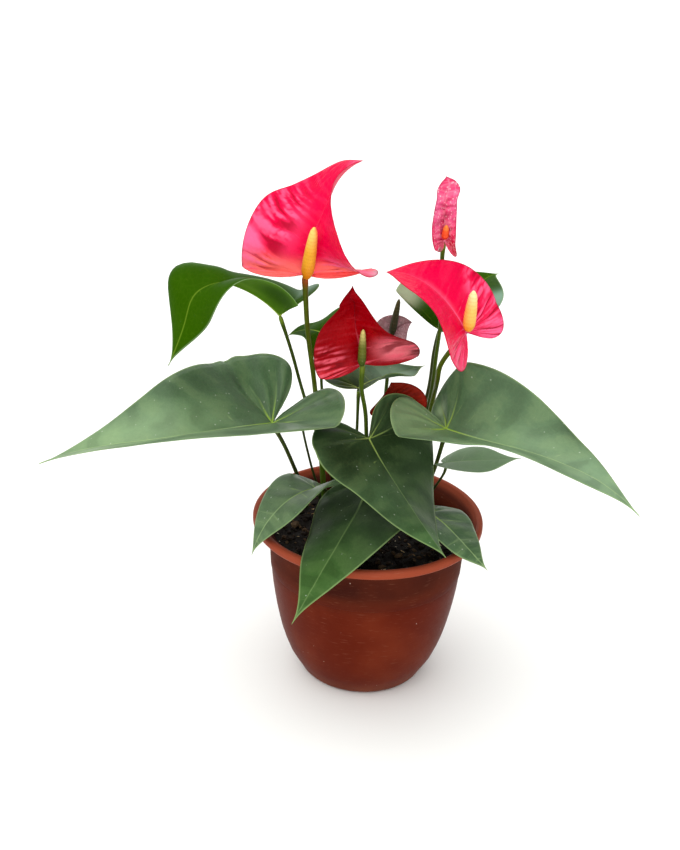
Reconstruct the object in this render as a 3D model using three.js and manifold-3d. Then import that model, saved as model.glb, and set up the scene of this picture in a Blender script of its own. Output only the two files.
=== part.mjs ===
// Flamingo flower (anthurium) growing in a round plastic pot.
// Millimetres, +Z up, origin at the middle of the pot's flat underside, front of the plant towards -Y.
import * as THREE from "three";
import { mergeVertices } from "three/addons/utils/BufferGeometryUtils.js";
import Module from "manifold-3d";

// ---- Driving dimensions -------------------------------------------------------------------

const POT_HEIGHT = 114;
const RIM_RADIUS = 75;
const MOUTH_RADIUS = 70.5;
const BODY_TOP_RADIUS = 63.4;
const BODY_TOP_HEIGHT = 99;
const BASE_RADIUS = 41;
const BASE_ROUNDING = 5;
const WALL = 2.4;
const FLOOR = 3;
const STEP_HEIGHT = 78;
const STEP_DEPTH = 0.5;
const POT_SEGMENTS = 48;

const DRAIN_HOLES = 5;
const DRAIN_RADIUS = 3.5;
const DRAIN_RING_RADIUS = 24;
const DRAIN_SIDES = 10;
const OVERCUT = 1; // how far a cutting cylinder runs past the wall that it cuts

const SOIL_LEVEL = 100;
const SOIL_BUMP = 1.6;
const SOIL_SEGMENTS = 48;
const SOIL_RINGS = 6;
const STEM_HOLE_DEPTH = 13;
const STALK_COLLAR = 2; // straight length of a stalk above the soil

const FIT_GAP = 0.4;
const LEAF_THICKNESS = 0.8;
const SPATHE_THICKNESS = 0.8;
const STALK_SIDES = 6;
const STALK_SEGMENTS = 7;
const SPADIX_SIDES = 10;
const LEAF_ROWS = 15;
const SPATHE_ROWS = 15;
const BLADE_COLUMNS = 3;
const MIDRIB_STEPS = 48;
const SPADIX_BOW = 0.4;

// Half outlines from the tip round the basal lobe to the sinus:
// [distance along the midrib in blade lengths, distance out in half widths].
const LEAF_OUTLINE = [
  [1, 0], [0.94, 0.03], [0.86, 0.13], [0.74, 0.33], [0.6, 0.56], [0.44, 0.78], [0.27, 0.94],
  [0.1, 1], [-0.06, 0.93], [-0.18, 0.74], [-0.25, 0.5], [-0.26, 0.28], [-0.2, 0.12],
  [-0.1, 0.04], [0, 0],
];
const SPATHE_OUTLINE = [
  [1, 0], [0.97, 0.05], [0.9, 0.17], [0.79, 0.38], [0.64, 0.63], [0.47, 0.84], [0.3, 0.97],
  [0.13, 1], [-0.02, 0.93], [-0.13, 0.76], [-0.18, 0.55], [-0.17, 0.33], [-0.11, 0.16],
  [0, 0],
];
const FAN_REACH = 0.12; // side veins from the lobes and the lower blade all start at the leaf base
const EMPTY_FACE = 1e-4; // twice the area below which a face gives no normal
const SHARPEST_CORNER = 0.6; // least cosine that widens the thickness at a folded corner

// ---- Colours ------------------------------------------------------------------------------

const finish = (name, color, roughness) =>
  Object.assign(new THREE.MeshStandardMaterial({ color, roughness, metalness: 0 }), { name });
const TERRACOTTA_PLASTIC = finish("terracotta plastic", 0x9c4a35, 0.5);
const PEAT = finish("bark and peat mix", 0x2b1d17, 0.95);
const DEEP_GREEN = finish("mature leaf", 0x3a5a3c, 0.45);
const BRIGHT_GREEN = finish("young leaf", 0x4f7d14, 0.4);
const PALE_GREEN = finish("pale leaf", 0x7d9a72, 0.5);
const STALK_GREEN = finish("leaf stalk", 0x4a4f24, 0.5);
const FLOWER_STALK_GREEN = finish("flower stalk", 0x66702c, 0.5);
const ROSE_RED = finish("fresh spathe", 0xf4275a, 0.3);
const DARK_RED = finish("shaded spathe", 0xc0222f, 0.35);
const OLD_RED = finish("ageing spathe", 0x8e1a12, 0.45);
const FADED_PINK = finish("withered spathe", 0xb88d8d, 0.7);
const YELLOW = finish("fresh spadix", 0xf2c14e, 0.6);
const ORANGE = finish("young spadix", 0xf0662f, 0.6);
const OLIVE = finish("green spadix", 0x7b7a33, 0.6);
const BROWN_GREEN = finish("old spadix", 0x4a4526, 0.7);

// ---- Leaves -------------------------------------------------------------------------------
// at: where the stalk meets the blade. heading and rise: direction of the midrib in degrees
// (0 = +X, 90 = away from the front; rise above level), read at even steps from base to tip.
// roll: turn of the blade about its midrib. fold: how far each half stands above the blade
// plane at base, middle and tip. curl: how far each half bends down from midrib to margin.
// Pairs are the left and the right half, looking from the base to the tip.
// seat: from the blade's base down to the end of its stalk. via: where the stalk passes, from
// the top down. foot: where it stands in the soil.

const LEAVES = [
  {
    name: "leaf_left", finish: DEEP_GREEN, at: [-63, -10, 180], length: 154, halfWidth: [59, 57],
    lobe: [0.83, 0.89], heading: [226, 203, 181, 180], rise: [13, -2, -10, -26], roll: [6, -1, 2],
    fold: [[14, 28, 7], [24, 26, -1]], curl: [5, -5], lobeLift: [40, 47],
    stalk: { radius: 1.45, seat: 0.9, via: [[-54, 4, 154]], foot: [-42, 30] },
  },
  {
    name: "leaf_right", finish: DEEP_GREEN, at: [47, 1, 177], length: 143, halfWidth: [46, 48],
    lobe: [0.56, 0.76], heading: [-43, -37, -31, -25], rise: [5, 7, -7, -40], roll: [7, -2, 5],
    fold: [[39, 0, 0], [15, 22, -1]], curl: [-38, -6], lobeLift: [-12, 43],
    stalk: { radius: 1.45, seat: 1.3, via: [[42, 8, 147]], foot: [34, 31] },
  },
  {
    name: "leaf_centre", finish: DEEP_GREEN, at: [-2, -21, 178], length: 92, halfWidth: [54, 55],
    lobe: [0.97, 0.92], heading: [-47, -49, -53, -51], rise: [-43, -32, -27, -24],
    roll: [-13, -23, -10], fold: [[14, -8, -28], [13, 8, -12]], curl: [7, 22],
    lobeLift: [31, -26],
    stalk: { radius: 1.5, seat: 1.8, via: [[-3, -4, 165], [2, 9, 135]], foot: [2, 14] },
  },
  {
    name: "leaf_front", finish: DEEP_GREEN, at: [-1, -3, 138], length: 127, halfWidth: [40, 37],
    lobe: [0.35, 0.35], heading: [-96, -109, -114, -120], rise: [-5, -12, -22, -34],
    roll: [8, 12, -12], fold: [[-10, 1, 6], [-14, -10, 15]], curl: [-1, 16], lobeLift: [0, 8],
    stalk: { radius: 1.4, seat: 1.7, via: [[-2, 1, 127], [-6, 6, 114]], foot: [-8, 8] },
  },
  {
    name: "leaf_low_left", finish: DEEP_GREEN, at: [-34, -15, 138], length: 65, halfWidth: [27, 27],
    lobe: [0.8, 0.8], heading: [-138, -141, -140, -139], rise: [13, -22, -49, -72],
    roll: [8, 4, 3], fold: [[27, 0, 1], [10, -3, -2]], curl: [-9, 5], lobeLift: [0, -10],
    stalk: {
      radius: 1.1, seat: 3.3, foot: [-26, 18],
      via: [[-32.5, -9, 130.8], [-31, 1, 129.5], [-28, 12, 122]],
    },
  },
  {
    name: "leaf_low_right", finish: DEEP_GREEN, at: [39, -15, 125], length: 60, halfWidth: [25, 27],
    lobe: [0.9, 0.9], heading: [-56, -54, -48, -39], rise: [5, -10, -21, -30],
    roll: [-3, -12, 19], fold: [[-1, 0, 0], [1, 10, -16]], curl: [11, 2], lobeLift: [-7, 0],
    stalk: { radius: 1.1, seat: 1.5, via: [[38, -12, 115]], foot: [32, -4] },
  },
  {
    name: "leaf_upper_left", finish: BRIGHT_GREEN, at: [-60, -7, 252], length: 106,
    halfWidth: [42, 46], lobe: [0.1, 0.62], heading: [168, 203, 227, 230],
    rise: [45, 22, -67, -56], roll: [28, -2, -2], fold: [[25, 28, -47], [57, 8, -13]],
    curl: [21, 60], lobeLift: [100, 76],
    stalk: { radius: 1.2, seat: 1.2, via: [[-53, 6, 223], [-45, 14, 190]], foot: [-20, 34] },
  },
  {
    name: "leaf_under_right", finish: PALE_GREEN, at: [49, 5, 151], length: 48,
    halfWidth: [21, 21], lobe: [0.4, 0.4], heading: [-11, -6, 0, 7], rise: [17, 9, 6, 6],
    roll: [-6, -1, 3], fold: [[0, 0, 0], [21, 11, -2]], curl: [10, 3], lobeLift: [0, 0],
    stalk: { radius: 0.9, seat: 1.7, via: [[48.2, 8.5, 143], [43, 25, 122]], foot: [38, 42] },
  },
  {
    name: "leaf_under_bloom", finish: DEEP_GREEN, at: [-10, 6, 200], length: 61,
    halfWidth: [27, 27], lobe: [0.71, 0.45], heading: [57, 45, 42, 44], rise: [7, -1, -4, 0],
    roll: [-7, 1, 6], fold: [[16, 14, 7], [27, 15, -4]], curl: [14, -6], lobeLift: [14, -8],
    stalk: { radius: 1.1, seat: 0.9, via: [[-10, 10, 186], [-10, 18, 168]], foot: [-10, 38] },
  },
  {
    name: "leaf_back_right", finish: BRIGHT_GREEN, at: [40, 40, 229], length: 68,
    halfWidth: [39, 38], lobe: [0.1, 0.25], heading: [39, 51, 58, 48], rise: [38, 31, 15, -8],
    roll: [10, 9, 10], fold: [[38, 4, 8], [42, 24, 10]], curl: [2, 10], lobeLift: [0, 23],
    stalk: { radius: 1.3, seat: 0.8, via: [[37.5, 43, 213], [35.5, 46, 184]], foot: [20, 49] },
  },
  {
    name: "leaf_young", finish: BRIGHT_GREEN, at: [-29, 22, 226], length: 31, halfWidth: [20, 28],
    lobe: [1, 1], heading: [155, 162, 171, 179], rise: [33, 7, -16, -37], roll: [-19, 6, -9],
    fold: [[0, 1, 0], [32, -4, 8]], curl: [9, 2], lobeLift: [0, 20],
    stalk: { radius: 1.1, seat: 1.4, via: [[-34, 24, 205], [-34, 28, 188]], foot: [-18, 46] },
  },
];

// ---- Blooms -------------------------------------------------------------------------------
// spadix: centre of its foot and of its top, with the radius near each.

const BLOOMS = [
  {
    name: "bloom_tall_left", finish: ROSE_RED, at: [-45, -15, 282], length: 84,
    halfWidth: [44, 44], lobe: [0.3, 0.33], heading: [-18, -19, -10, -24], rise: [93, 66, 71, 27],
    roll: [93, 56, 7], fold: [[2, 13, 5], [-21, 33, 25]], curl: [16, 22], lobeLift: [62, 62],
    spadix: { finish: YELLOW, foot: [-43.8, -18.5, 281], top: [-39.5, -28, 316], radius: [4.2, 3] },
    stalk: { radius: 1.7, seat: 1.0, via: [[-43, -4, 243], [-37.7, 10, 196]], foot: [-29, 22] },
  },
  {
    name: "bloom_right", finish: ROSE_RED, at: [54, -7, 247], length: 66, halfWidth: [38, 37],
    lobe: [1.33, 1.3], heading: [175, 171, 163, 160], rise: [61, 48, 22, -15],
    roll: [-18, -10, -4], fold: [[2, 15, -4], [15, 15, 1]], curl: [-8, 1], lobeLift: [-10, 24],
    spadix: { finish: YELLOW, foot: [55, -10, 249], top: [56.5, -12, 276], radius: [4.1, 3.1] },
    stalk: {
      radius: 1.7, seat: 1.8, foot: [25, 28],
      via: [[41, 4, 221], [39.6, 15, 204], [38.5, 28.5, 186.5]],
    },
  },
  {
    name: "bloom_top", finish: ROSE_RED, at: [38, 20, 296], length: 40, halfWidth: [14, 14],
    lobe: [1.02, 1.03], heading: [9, 7, 7, 6], rise: [99, 88, 91, 100], roll: [87, 88, 85],
    fold: [[51, 45, 27], [46, 39, 23]], curl: [-5, -7], lobeLift: [-1, 5],
    spadix: { finish: ORANGE, foot: [38, 14.9, 298.5], top: [38.5, 12.6, 308], radius: [2.4, 1.7] },
    stalk: {
      radius: 1.4, seat: 1.9, foot: [26, 38],
      via: [[37.8, 26.5, 283], [39.3, 21.5, 243], [38.4, 32, 212], [37.2, 36, 188]],
    },
  },
  {
    name: "bloom_middle", finish: DARK_RED, at: [-8, -19, 228], length: 51, halfWidth: [32, 36],
    lobe: [0.4, 0.35], heading: [9, 6, -2, 2], rise: [99, 105, 93, 98], roll: [91, 79, 82],
    fold: [[17, 30, 73], [5, 36, 49]], curl: [-11, 2], lobeLift: [10, 10],
    spadix: { finish: OLIVE, foot: [-8.5, -22.7, 228], top: [-8.5, -27, 253.5], radius: [2.8, 1.9] },
    stalk: { radius: 1.5, seat: 1.3, via: [[-8.2, -16.5, 212], [-4.6, -5, 186]], foot: [-2, 26] },
  },
  {
    name: "bloom_spent", finish: FADED_PINK, at: [8, 42, 222], length: 18, halfWidth: [12, 12],
    lobe: [0.6, 0.6], heading: [7, 3, -1, -5], rise: [60, 45, 30, 10], roll: [68, 72, 68],
    fold: [[13, 19, 11], [15, 16, 13]], curl: [9, 9], lobeLift: [0, 0],
    spadix: { finish: BROWN_GREEN, foot: [9.3, 39.3, 224], top: [12.8, 36.5, 250], radius: [2.7, 1.7] },
    stalk: { radius: 1.4, seat: 1.9, via: [[8, 50, 188]], foot: [4, 52] },
  },
  {
    name: "bloom_low_back", finish: OLD_RED, at: [17, 18, 181.5], length: 20, halfWidth: [20, 18],
    lobe: [1, 1], heading: [-7, -3, 4, 10], rise: [99, 106, 114, 122], roll: [104, 104, 102],
    fold: [[15, 12, 9], [15, 8, 0]], curl: [12, 8], lobeLift: [0, 0],
    spadix: { finish: OLIVE, foot: [16.5, 14.6, 182], top: [16, 13.2, 192], radius: [2.2, 1.6] },
    stalk: { radius: 1.3, seat: 1.4, via: [[17, 21, 170]], foot: [12, 24] },
  },
];

// A leafless stalk at the left of the clump.
const BARE_STALK = {
  name: "bare_stalk", finish: STALK_GREEN, top: [-47, 22, 172], radius: 0.9,
  via: [[-45, 26, 157], [-40, 31, 133]], foot: [-33, 38],
};

// ---- Shared helpers -----------------------------------------------------------------------

const wasm = await Module();
wasm.setup();

const vector = (xyz) => new THREE.Vector3(...xyz);
const radians = THREE.MathUtils.degToRad;
const clamp = THREE.MathUtils.clamp;
const lerp = THREE.MathUtils.lerp;

/** Reads a list of values, spread evenly over 0..1, at s. */
function readAlong(values, s) {
  const place = clamp(s, 0, 1) * (values.length - 1);
  const first = Math.min(Math.floor(place), values.length - 2);
  return lerp(values[first], values[first + 1], place - first);
}

/** Direction of a heading and a rise in degrees. */
function direction(heading, rise) {
  const h = radians(heading);
  const r = radians(rise);
  return new THREE.Vector3(Math.cos(h) * Math.cos(r), Math.sin(h) * Math.cos(r), Math.sin(r));
}

/** Smooth open curve through flat points, read at even steps of its point number. */
function smoothOutline(points, rows) {
  const last = points.length - 1;
  const reach = (i) => {
    if (i < 0) return [0, 1].map((k) => 2 * points[0][k] - points[1][k]);
    if (i > last) return [0, 1].map((k) => 2 * points[last][k] - points[last - 1][k]);
    return points[i];
  };
  return Array.from({ length: rows + 1 }, (_, row) => {
    const place = (row / rows) * last;
    const i = Math.min(Math.floor(place), last - 1);
    const u = place - i;
    const [a, b, c, d] = [reach(i - 1), reach(i), reach(i + 1), reach(i + 2)];
    return [0, 1].map(
      (k) =>
        0.5 *
        (2 * b[k] + (c[k] - a[k]) * u + (2 * a[k] - 5 * b[k] + 4 * c[k] - d[k]) * u * u +
          (3 * b[k] - a[k] - 3 * c[k] + d[k]) * u * u * u),
    );
  });
}

/** Closed indexed geometry with shared corners and without empty triangles. */
function closedGeometry(positions, triangles) {
  const loose = new THREE.BufferGeometry();
  loose.setAttribute("position", new THREE.Float32BufferAttribute(positions, 3));
  loose.setIndex(triangles);
  const merged = mergeVertices(loose, 1e-3);
  const index = merged.index.array;
  const kept = [];
  for (let i = 0; i < index.length; i += 3) {
    const [a, b, c] = [index[i], index[i + 1], index[i + 2]];
    if (a !== b && b !== c && c !== a) kept.push(a, b, c);
  }
  merged.setIndex(kept);
  merged.computeVertexNormals();
  return merged;
}

/** three.js geometry as a manifold solid. */
function toSolid(geometry) {
  const merged = mergeVertices(geometry.clone().deleteAttribute("normal").deleteAttribute("uv"), 1e-3);
  return new wasm.Manifold(
    new wasm.Mesh({
      numProp: 3,
      vertProperties: merged.attributes.position.array,
      triVerts: new Uint32Array(merged.index.array),
    }),
  );
}

/** Manifold solid as three.js geometry. */
function toGeometry(solid) {
  const mesh = solid.getMesh();
  const geometry = new THREE.BufferGeometry();
  geometry.setAttribute("position", new THREE.Float32BufferAttribute(mesh.vertProperties, 3));
  geometry.setIndex([...mesh.triVerts]);
  geometry.computeVertexNormals();
  return geometry;
}

/** Cylinder standing on +Z between two heights. */
function uprightCylinder(x, y, bottom, top, radius, sides) {
  const round = new THREE.CylinderGeometry(radius, radius, top - bottom, sides);
  return toSolid(round.rotateX(Math.PI / 2).translate(x, y, (bottom + top) / 2));
}

// ---- Blades -------------------------------------------------------------------------------

/** A leaf or spathe: a heart-shaped sheet bent along its midrib and folded about it. */
class Blade {
  constructor(spec, outline, thickness) {
    this.spec = spec;
    this.outline = outline;
    this.thickness = thickness;
    this.midrib = [vector(spec.at)];
    for (let step = 0; step < MIDRIB_STEPS; step++) {
      const s = (step + 0.5) / MIDRIB_STEPS;
      const along = direction(readAlong(spec.heading, s), readAlong(spec.rise, s));
      this.midrib.push(
        this.midrib[step].clone().addScaledVector(along, spec.length / MIDRIB_STEPS),
      );
    }
  }

  midribPoint(s) {
    const place = clamp(s, 0, 1) * MIDRIB_STEPS;
    const step = Math.min(Math.floor(place), MIDRIB_STEPS - 1);
    return this.midrib[step].clone().lerp(this.midrib[step + 1], place - step);
  }

  /** Along, leftward and upper-face directions of the blade at s. */
  frame(s) {
    const { heading, rise, roll } = this.spec;
    const h = radians(readAlong(heading, s));
    const along = direction(readAlong(heading, s), readAlong(rise, s));
    const level = new THREE.Vector3(-Math.sin(h), Math.cos(h), 0);
    const over = along.clone().cross(level);
    const turn = radians(readAlong(roll, s));
    return {
      along,
      left: level.clone().multiplyScalar(Math.cos(turn)).addScaledVector(over, Math.sin(turn)),
      upper: over.multiplyScalar(Math.cos(turn)).addScaledVector(level, -Math.sin(turn)),
    };
  }

  /** Point of the sheet at flat place (x along, y out) on side 0 (left) or 1 (right). */
  point(x, y, side) {
    const { length, halfWidth, lobe, fold, curl, lobeLift } = this.spec;
    const s = clamp(x, 0, 1);
    const { along, left, upper } = this.frame(s);
    const lift = radians(readAlong(fold[side], s) - (curl[side] * y) / 2);
    const reach = y * halfWidth[side];
    const place = this.midribPoint(s)
      .addScaledVector(left, (side === 0 ? 1 : -1) * Math.cos(lift) * reach)
      .addScaledVector(upper, Math.sin(lift) * reach);
    const back = Math.min(x, 0) * lobe[side] * length;
    const raise = radians(lobeLift[side]);
    return place
      .addScaledVector(along, back * Math.cos(raise))
      .addScaledVector(upper, -back * Math.sin(raise));
  }

  /** Mid surface: for each side a grid of rows (tip to sinus) by columns (midrib to margin). */
  sheet(rows) {
    const outline = smoothOutline(this.outline, rows).slice(0, rows);
    return [0, 1].map((side) =>
      outline.map(([x, y]) => {
        const root = Math.max((x - FAN_REACH) / (1 - FAN_REACH), 0);
        return Array.from({ length: BLADE_COLUMNS + 1 }, (_, column) => {
          const v = column / BLADE_COLUMNS;
          return this.point(lerp(root, x, v), Math.max(y, 0) * v, side);
        });
      }),
    );
  }

  geometry(rows) {
    const sheet = this.sheet(rows);
    const points = [];
    const faces = [];
    const margins = [];
    sheet.forEach((grid, side) => {
      const base = points.length;
      const last = grid.length - 1;
      grid.forEach((row) => points.push(...row));
      const at = (row, column) => base + row * (BLADE_COLUMNS + 1) + column;
      const margin = [];
      for (let row = 0; row < last; row++) {
        for (let column = 0; column < BLADE_COLUMNS; column++) {
          const [a, b] = [at(row, column), at(row, column + 1)];
          const [c, d] = [at(row + 1, column + 1), at(row + 1, column)];
          faces.push(...(side === 0 ? [a, c, b, a, d, c] : [a, b, c, a, c, d]));
        }
        margin.push([at(row, BLADE_COLUMNS), at(row + 1, BLADE_COLUMNS)]);
      }
      for (let column = BLADE_COLUMNS; column > 0; column--) {
        margin.push([at(last, column), at(last, column - 1)]);
      }
      margins.push(...margin.map(([a, b]) => (side === 0 ? [a, b] : [b, a])));
    });
    return this.thicken(points, faces, margins);
  }

  /** Sheet moved out by half the thickness both ways and closed round its margin. */
  thicken(points, faces, margins) {
    const key = (i) => points[i].toArray().map((value) => value.toFixed(3)).join();
    const sums = new Map(points.map((_, i) => [key(i), { normal: new THREE.Vector3(), faces: [] }]));
    for (let i = 0; i < faces.length; i += 3) {
      const [a, b, c] = faces.slice(i, i + 3);
      const normal = points[b].clone().sub(points[a]).cross(points[c].clone().sub(points[a]));
      if (normal.length() < EMPTY_FACE) continue;
      for (const corner of [a, b, c]) {
        const sum = sums.get(key(corner));
        sum.normal.add(normal);
        sum.faces.push(normal.clone().normalize());
      }
    }
    const offsets = points.map((_, i) => {
      const { normal, faces: around } = sums.get(key(i));
      const out = normal.clone().normalize();
      const least = Math.min(1, ...around.map((face) => Math.abs(face.dot(out))));
      return out.multiplyScalar(this.thickness / 2 / Math.max(least, SHARPEST_CORNER));
    });
    const positions = [1, -1].flatMap((sign) =>
      points.flatMap((p, i) => p.clone().addScaledVector(offsets[i], sign).toArray()),
    );
    const under = points.length;
    const triangles = [...faces];
    for (let i = 0; i < faces.length; i += 3) {
      triangles.push(faces[i] + under, faces[i + 2] + under, faces[i + 1] + under);
    }
    for (const [a, b] of margins) {
      triangles.push(a, b, b + under, a, b + under, a + under);
    }
    return closedGeometry(positions, triangles);
  }
}

// ---- Stalks and spadices ------------------------------------------------------------------

/** Round solid through the given centres; radii are read evenly from first to last centre. */
function roundThrough(centres, radii, sides) {
  const last = centres.length - 1;
  const positions = [...centres[0].toArray()];
  let across = new THREE.Vector3(1, 0, 0);
  centres.forEach((centre, i) => {
    const before = centres[Math.max(i - 1, 0)];
    const along = centres[Math.min(i + 1, last)].clone().sub(before).normalize();
    across = across.clone().addScaledVector(along, -across.dot(along)).normalize();
    const over = along.clone().cross(across);
    const radius = readAlong(radii, i / last);
    for (let side = 0; side < sides; side++) {
      const turn = (side / sides) * 2 * Math.PI;
      const rim = centre
        .clone()
        .addScaledVector(across, Math.cos(turn) * radius)
        .addScaledVector(over, Math.sin(turn) * radius);
      positions.push(...rim.toArray());
    }
  });
  positions.push(...centres[last].toArray());
  const end = positions.length / 3 - 1;
  const triangles = [];
  for (let side = 0; side < sides; side++) {
    const next = (side + 1) % sides;
    triangles.push(0, 1 + next, 1 + side);
    triangles.push(end, end - sides + side, end - sides + next);
    for (let i = 0; i < last; i++) {
      const low = 1 + i * sides;
      const high = low + sides;
      triangles.push(low + side, low + next, high + next, low + side, high + next, high + side);
    }
  }
  return closedGeometry(positions, triangles);
}

/** Centres of a stalk: straight up out of its hole in the soil, then a smooth bend to its top. */
function stalkCentres({ via, foot }, end) {
  const [x, y] = foot;
  const bottom = new THREE.Vector3(x, y, SOIL_LEVEL - STEM_HOLE_DEPTH + FIT_GAP);
  const surface = new THREE.Vector3(x, y, SOIL_LEVEL + STALK_COLLAR);
  const bend = new THREE.CatmullRomCurve3(
    [bottom, surface, ...via.map(vector).reverse(), end],
    false,
    "centripetal",
  );
  const start = 1 / (bend.points.length - 1);
  const above = Array.from({ length: STALK_SEGMENTS }, (_, i) =>
    bend.getPoint(lerp(start, 1, (i + 1) / STALK_SEGMENTS)),
  );
  return [bottom, surface, ...above];
}

/** End of a stalk: just short of the place where it carries its blade. */
function stalkEnd({ via, seat }, junction) {
  const top = vector(junction);
  return top.addScaledVector(vector(via[0]).sub(top).normalize(), seat);
}

const STALK_SHAPE = [1.1, 1.1, 0.95, 0.9, 0.9, 1];
const SPADIX_SHAPE = [0.5, 0.95, 1, 1, 0.98, 0.9, 0.78, 0.45];

const stalkGeometry = (stalk, end) =>
  roundThrough(
    stalkCentres(stalk, end),
    STALK_SHAPE.map((share) => share * stalk.radius),
    STALK_SIDES,
  );

function spadixGeometry({ foot, top, radius: [base, tip] }) {
  const bend = new THREE.QuadraticBezierCurve3(
    vector(foot),
    vector(foot).lerp(vector(top), 0.5).add(new THREE.Vector3(0, SPADIX_BOW, 0)),
    vector(top),
  );
  const radii = SPADIX_SHAPE.map(
    (share, i) => share * lerp(base, tip, i / (SPADIX_SHAPE.length - 1)),
  );
  return roundThrough(bend.getPoints(SPADIX_SHAPE.length - 1), radii, SPADIX_SIDES);
}

// ---- Pot and soil -------------------------------------------------------------------------

// Outer wall from the flat underside up to the rim, as [radius, height].
const OUTER_WALL = [
  [BASE_RADIUS - BASE_ROUNDING, 0],
  [BASE_RADIUS - 1.2, 1.4],
  [BASE_RADIUS + 1.2, BASE_ROUNDING],
  [49.1, 16.7],
  [54.9, 33.3],
  [58.6, 50],
  [61.2, 66],
  [62.3, STEP_HEIGHT - 0.5],
  [62.3 + STEP_DEPTH, STEP_HEIGHT],
  [BODY_TOP_RADIUS, 88],
  [BODY_TOP_RADIUS, BODY_TOP_HEIGHT],
  [64.4, 102.4],
  [67, 105.4],
  [71, 107.4],
  [RIM_RADIUS - 0.8, 108.4],
  [RIM_RADIUS, 110],
  [RIM_RADIUS, 112],
  [RIM_RADIUS - 1, 113.6],
  [RIM_RADIUS - 2.4, POT_HEIGHT],
];
// Inner wall from the mouth down to the floor.
const INNER_WALL = [
  [MOUTH_RADIUS, POT_HEIGHT - 0.8],
  [MOUTH_RADIUS - 2.6, 110.4],
  [64, 106.4],
  [61.8, 102.4],
  [BODY_TOP_RADIUS - WALL, BODY_TOP_HEIGHT - 2],
  [BODY_TOP_RADIUS - WALL, 88],
  [62.3 - WALL, STEP_HEIGHT],
  [58.6 - WALL, 50],
  [54.9 - WALL, 33.3],
  [49.1 - WALL, 16.7],
  [BASE_RADIUS + 1.2 - WALL, 6.5],
  [BASE_RADIUS - 3, FLOOR],
];

const lathe = (profile, segments) =>
  new THREE.LatheGeometry(profile.map(([r, z]) => new THREE.Vector2(r, z)), segments).rotateX(
    Math.PI / 2,
  );

function potGeometry() {
  const profile = [[0, 0], ...OUTER_WALL, ...INNER_WALL, [0, FLOOR]];
  let pot = toSolid(lathe(profile, POT_SEGMENTS));
  for (let hole = 0; hole < DRAIN_HOLES; hole++) {
    const turn = ((hole + 0.5) / DRAIN_HOLES) * 2 * Math.PI;
    const x = Math.cos(turn) * DRAIN_RING_RADIUS;
    const y = Math.sin(turn) * DRAIN_RING_RADIUS;
    pot = pot.subtract(uprightCylinder(x, y, -OVERCUT, FLOOR + OVERCUT, DRAIN_RADIUS, DRAIN_SIDES));
  }
  return toGeometry(pot);
}

/** Height of the loose soil surface at a place: crossing ripples about 30 mm and 19 mm long. */
function soilHeight(x, y) {
  const broad = Math.sin((2 * Math.PI * x) / 30 + 1.3) * Math.cos((2 * Math.PI * y) / 33);
  const fine = Math.sin((2 * Math.PI * (x - y)) / 19);
  return SOIL_LEVEL + SOIL_BUMP * (0.6 * broad + 0.36 * fine);
}

function soilGeometry(stalks) {
  const wall = INNER_WALL.filter(([, z]) => z < SOIL_LEVEL).map(([r, z]) => [
    r - FIT_GAP,
    z === FLOOR ? FLOOR + FIT_GAP : z,
  ]);
  const brim = wall[0][0];
  const rings = Array.from({ length: SOIL_RINGS }, (_, i) => [
    (brim * i) / SOIL_RINGS,
    SOIL_LEVEL,
  ]);
  const block = lathe([[0, FLOOR + FIT_GAP], ...wall.slice().reverse(), [brim, SOIL_LEVEL],
    ...rings.reverse()], SOIL_SEGMENTS);
  const place = block.attributes.position;
  for (let i = 0; i < place.count; i++) {
    if (place.getZ(i) > SOIL_LEVEL - FIT_GAP) {
      place.setZ(i, soilHeight(place.getX(i), place.getY(i)));
    }
  }
  let soil = toSolid(block);
  for (const { foot, radius } of stalks) {
    const hole = (radius * STALK_SHAPE[0] + FIT_GAP) / Math.cos(Math.PI / STALK_SIDES);
    const bottom = SOIL_LEVEL - STEM_HOLE_DEPTH;
    const top = SOIL_LEVEL + SOIL_BUMP + OVERCUT;
    soil = soil.subtract(uprightCylinder(...foot, bottom, top, hole, STALK_SIDES));
  }
  return toGeometry(soil);
}

// ---- Assembly -----------------------------------------------------------------------------

function piece(name, geometry, material) {
  const mesh = new THREE.Mesh(geometry, material.clone());
  mesh.name = name;
  return mesh;
}

function makeLeaf(spec) {
  const leaf = new THREE.Group();
  const blade = new Blade(spec, LEAF_OUTLINE, LEAF_THICKNESS);
  leaf.add(piece(`${spec.name}_blade`, blade.geometry(LEAF_ROWS), spec.finish));
  const stalk = stalkGeometry(spec.stalk, stalkEnd(spec.stalk, spec.at));
  leaf.add(piece(`${spec.name}_stalk`, stalk, STALK_GREEN));
  return leaf;
}

function makeBloom(spec) {
  const bloom = new THREE.Group();
  const blade = new Blade(spec, SPATHE_OUTLINE, SPATHE_THICKNESS);
  bloom.add(piece(`${spec.name}_spathe`, blade.geometry(SPATHE_ROWS), spec.finish));
  const stalk = stalkGeometry(spec.stalk, stalkEnd(spec.stalk, spec.at));
  bloom.add(piece(`${spec.name}_stalk`, stalk, FLOWER_STALK_GREEN));
  bloom.add(piece(`${spec.name}_spadix`, spadixGeometry(spec.spadix), spec.spadix.finish));
  return bloom;
}

const plant = new THREE.Group();
plant.name = "potted_anthurium";
plant.add(piece("pot", potGeometry(), TERRACOTTA_PLASTIC));
const stalks = [...LEAVES, ...BLOOMS].map((spec) => spec.stalk).concat(BARE_STALK);
plant.add(piece("soil", soilGeometry(stalks), PEAT));
LEAVES.forEach((spec) => plant.add(makeLeaf(spec)));
BLOOMS.forEach((spec) => plant.add(makeBloom(spec)));
const bare = stalkGeometry(BARE_STALK, vector(BARE_STALK.top));
plant.add(piece(BARE_STALK.name, bare, BARE_STALK.finish));

export default plant;
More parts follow.
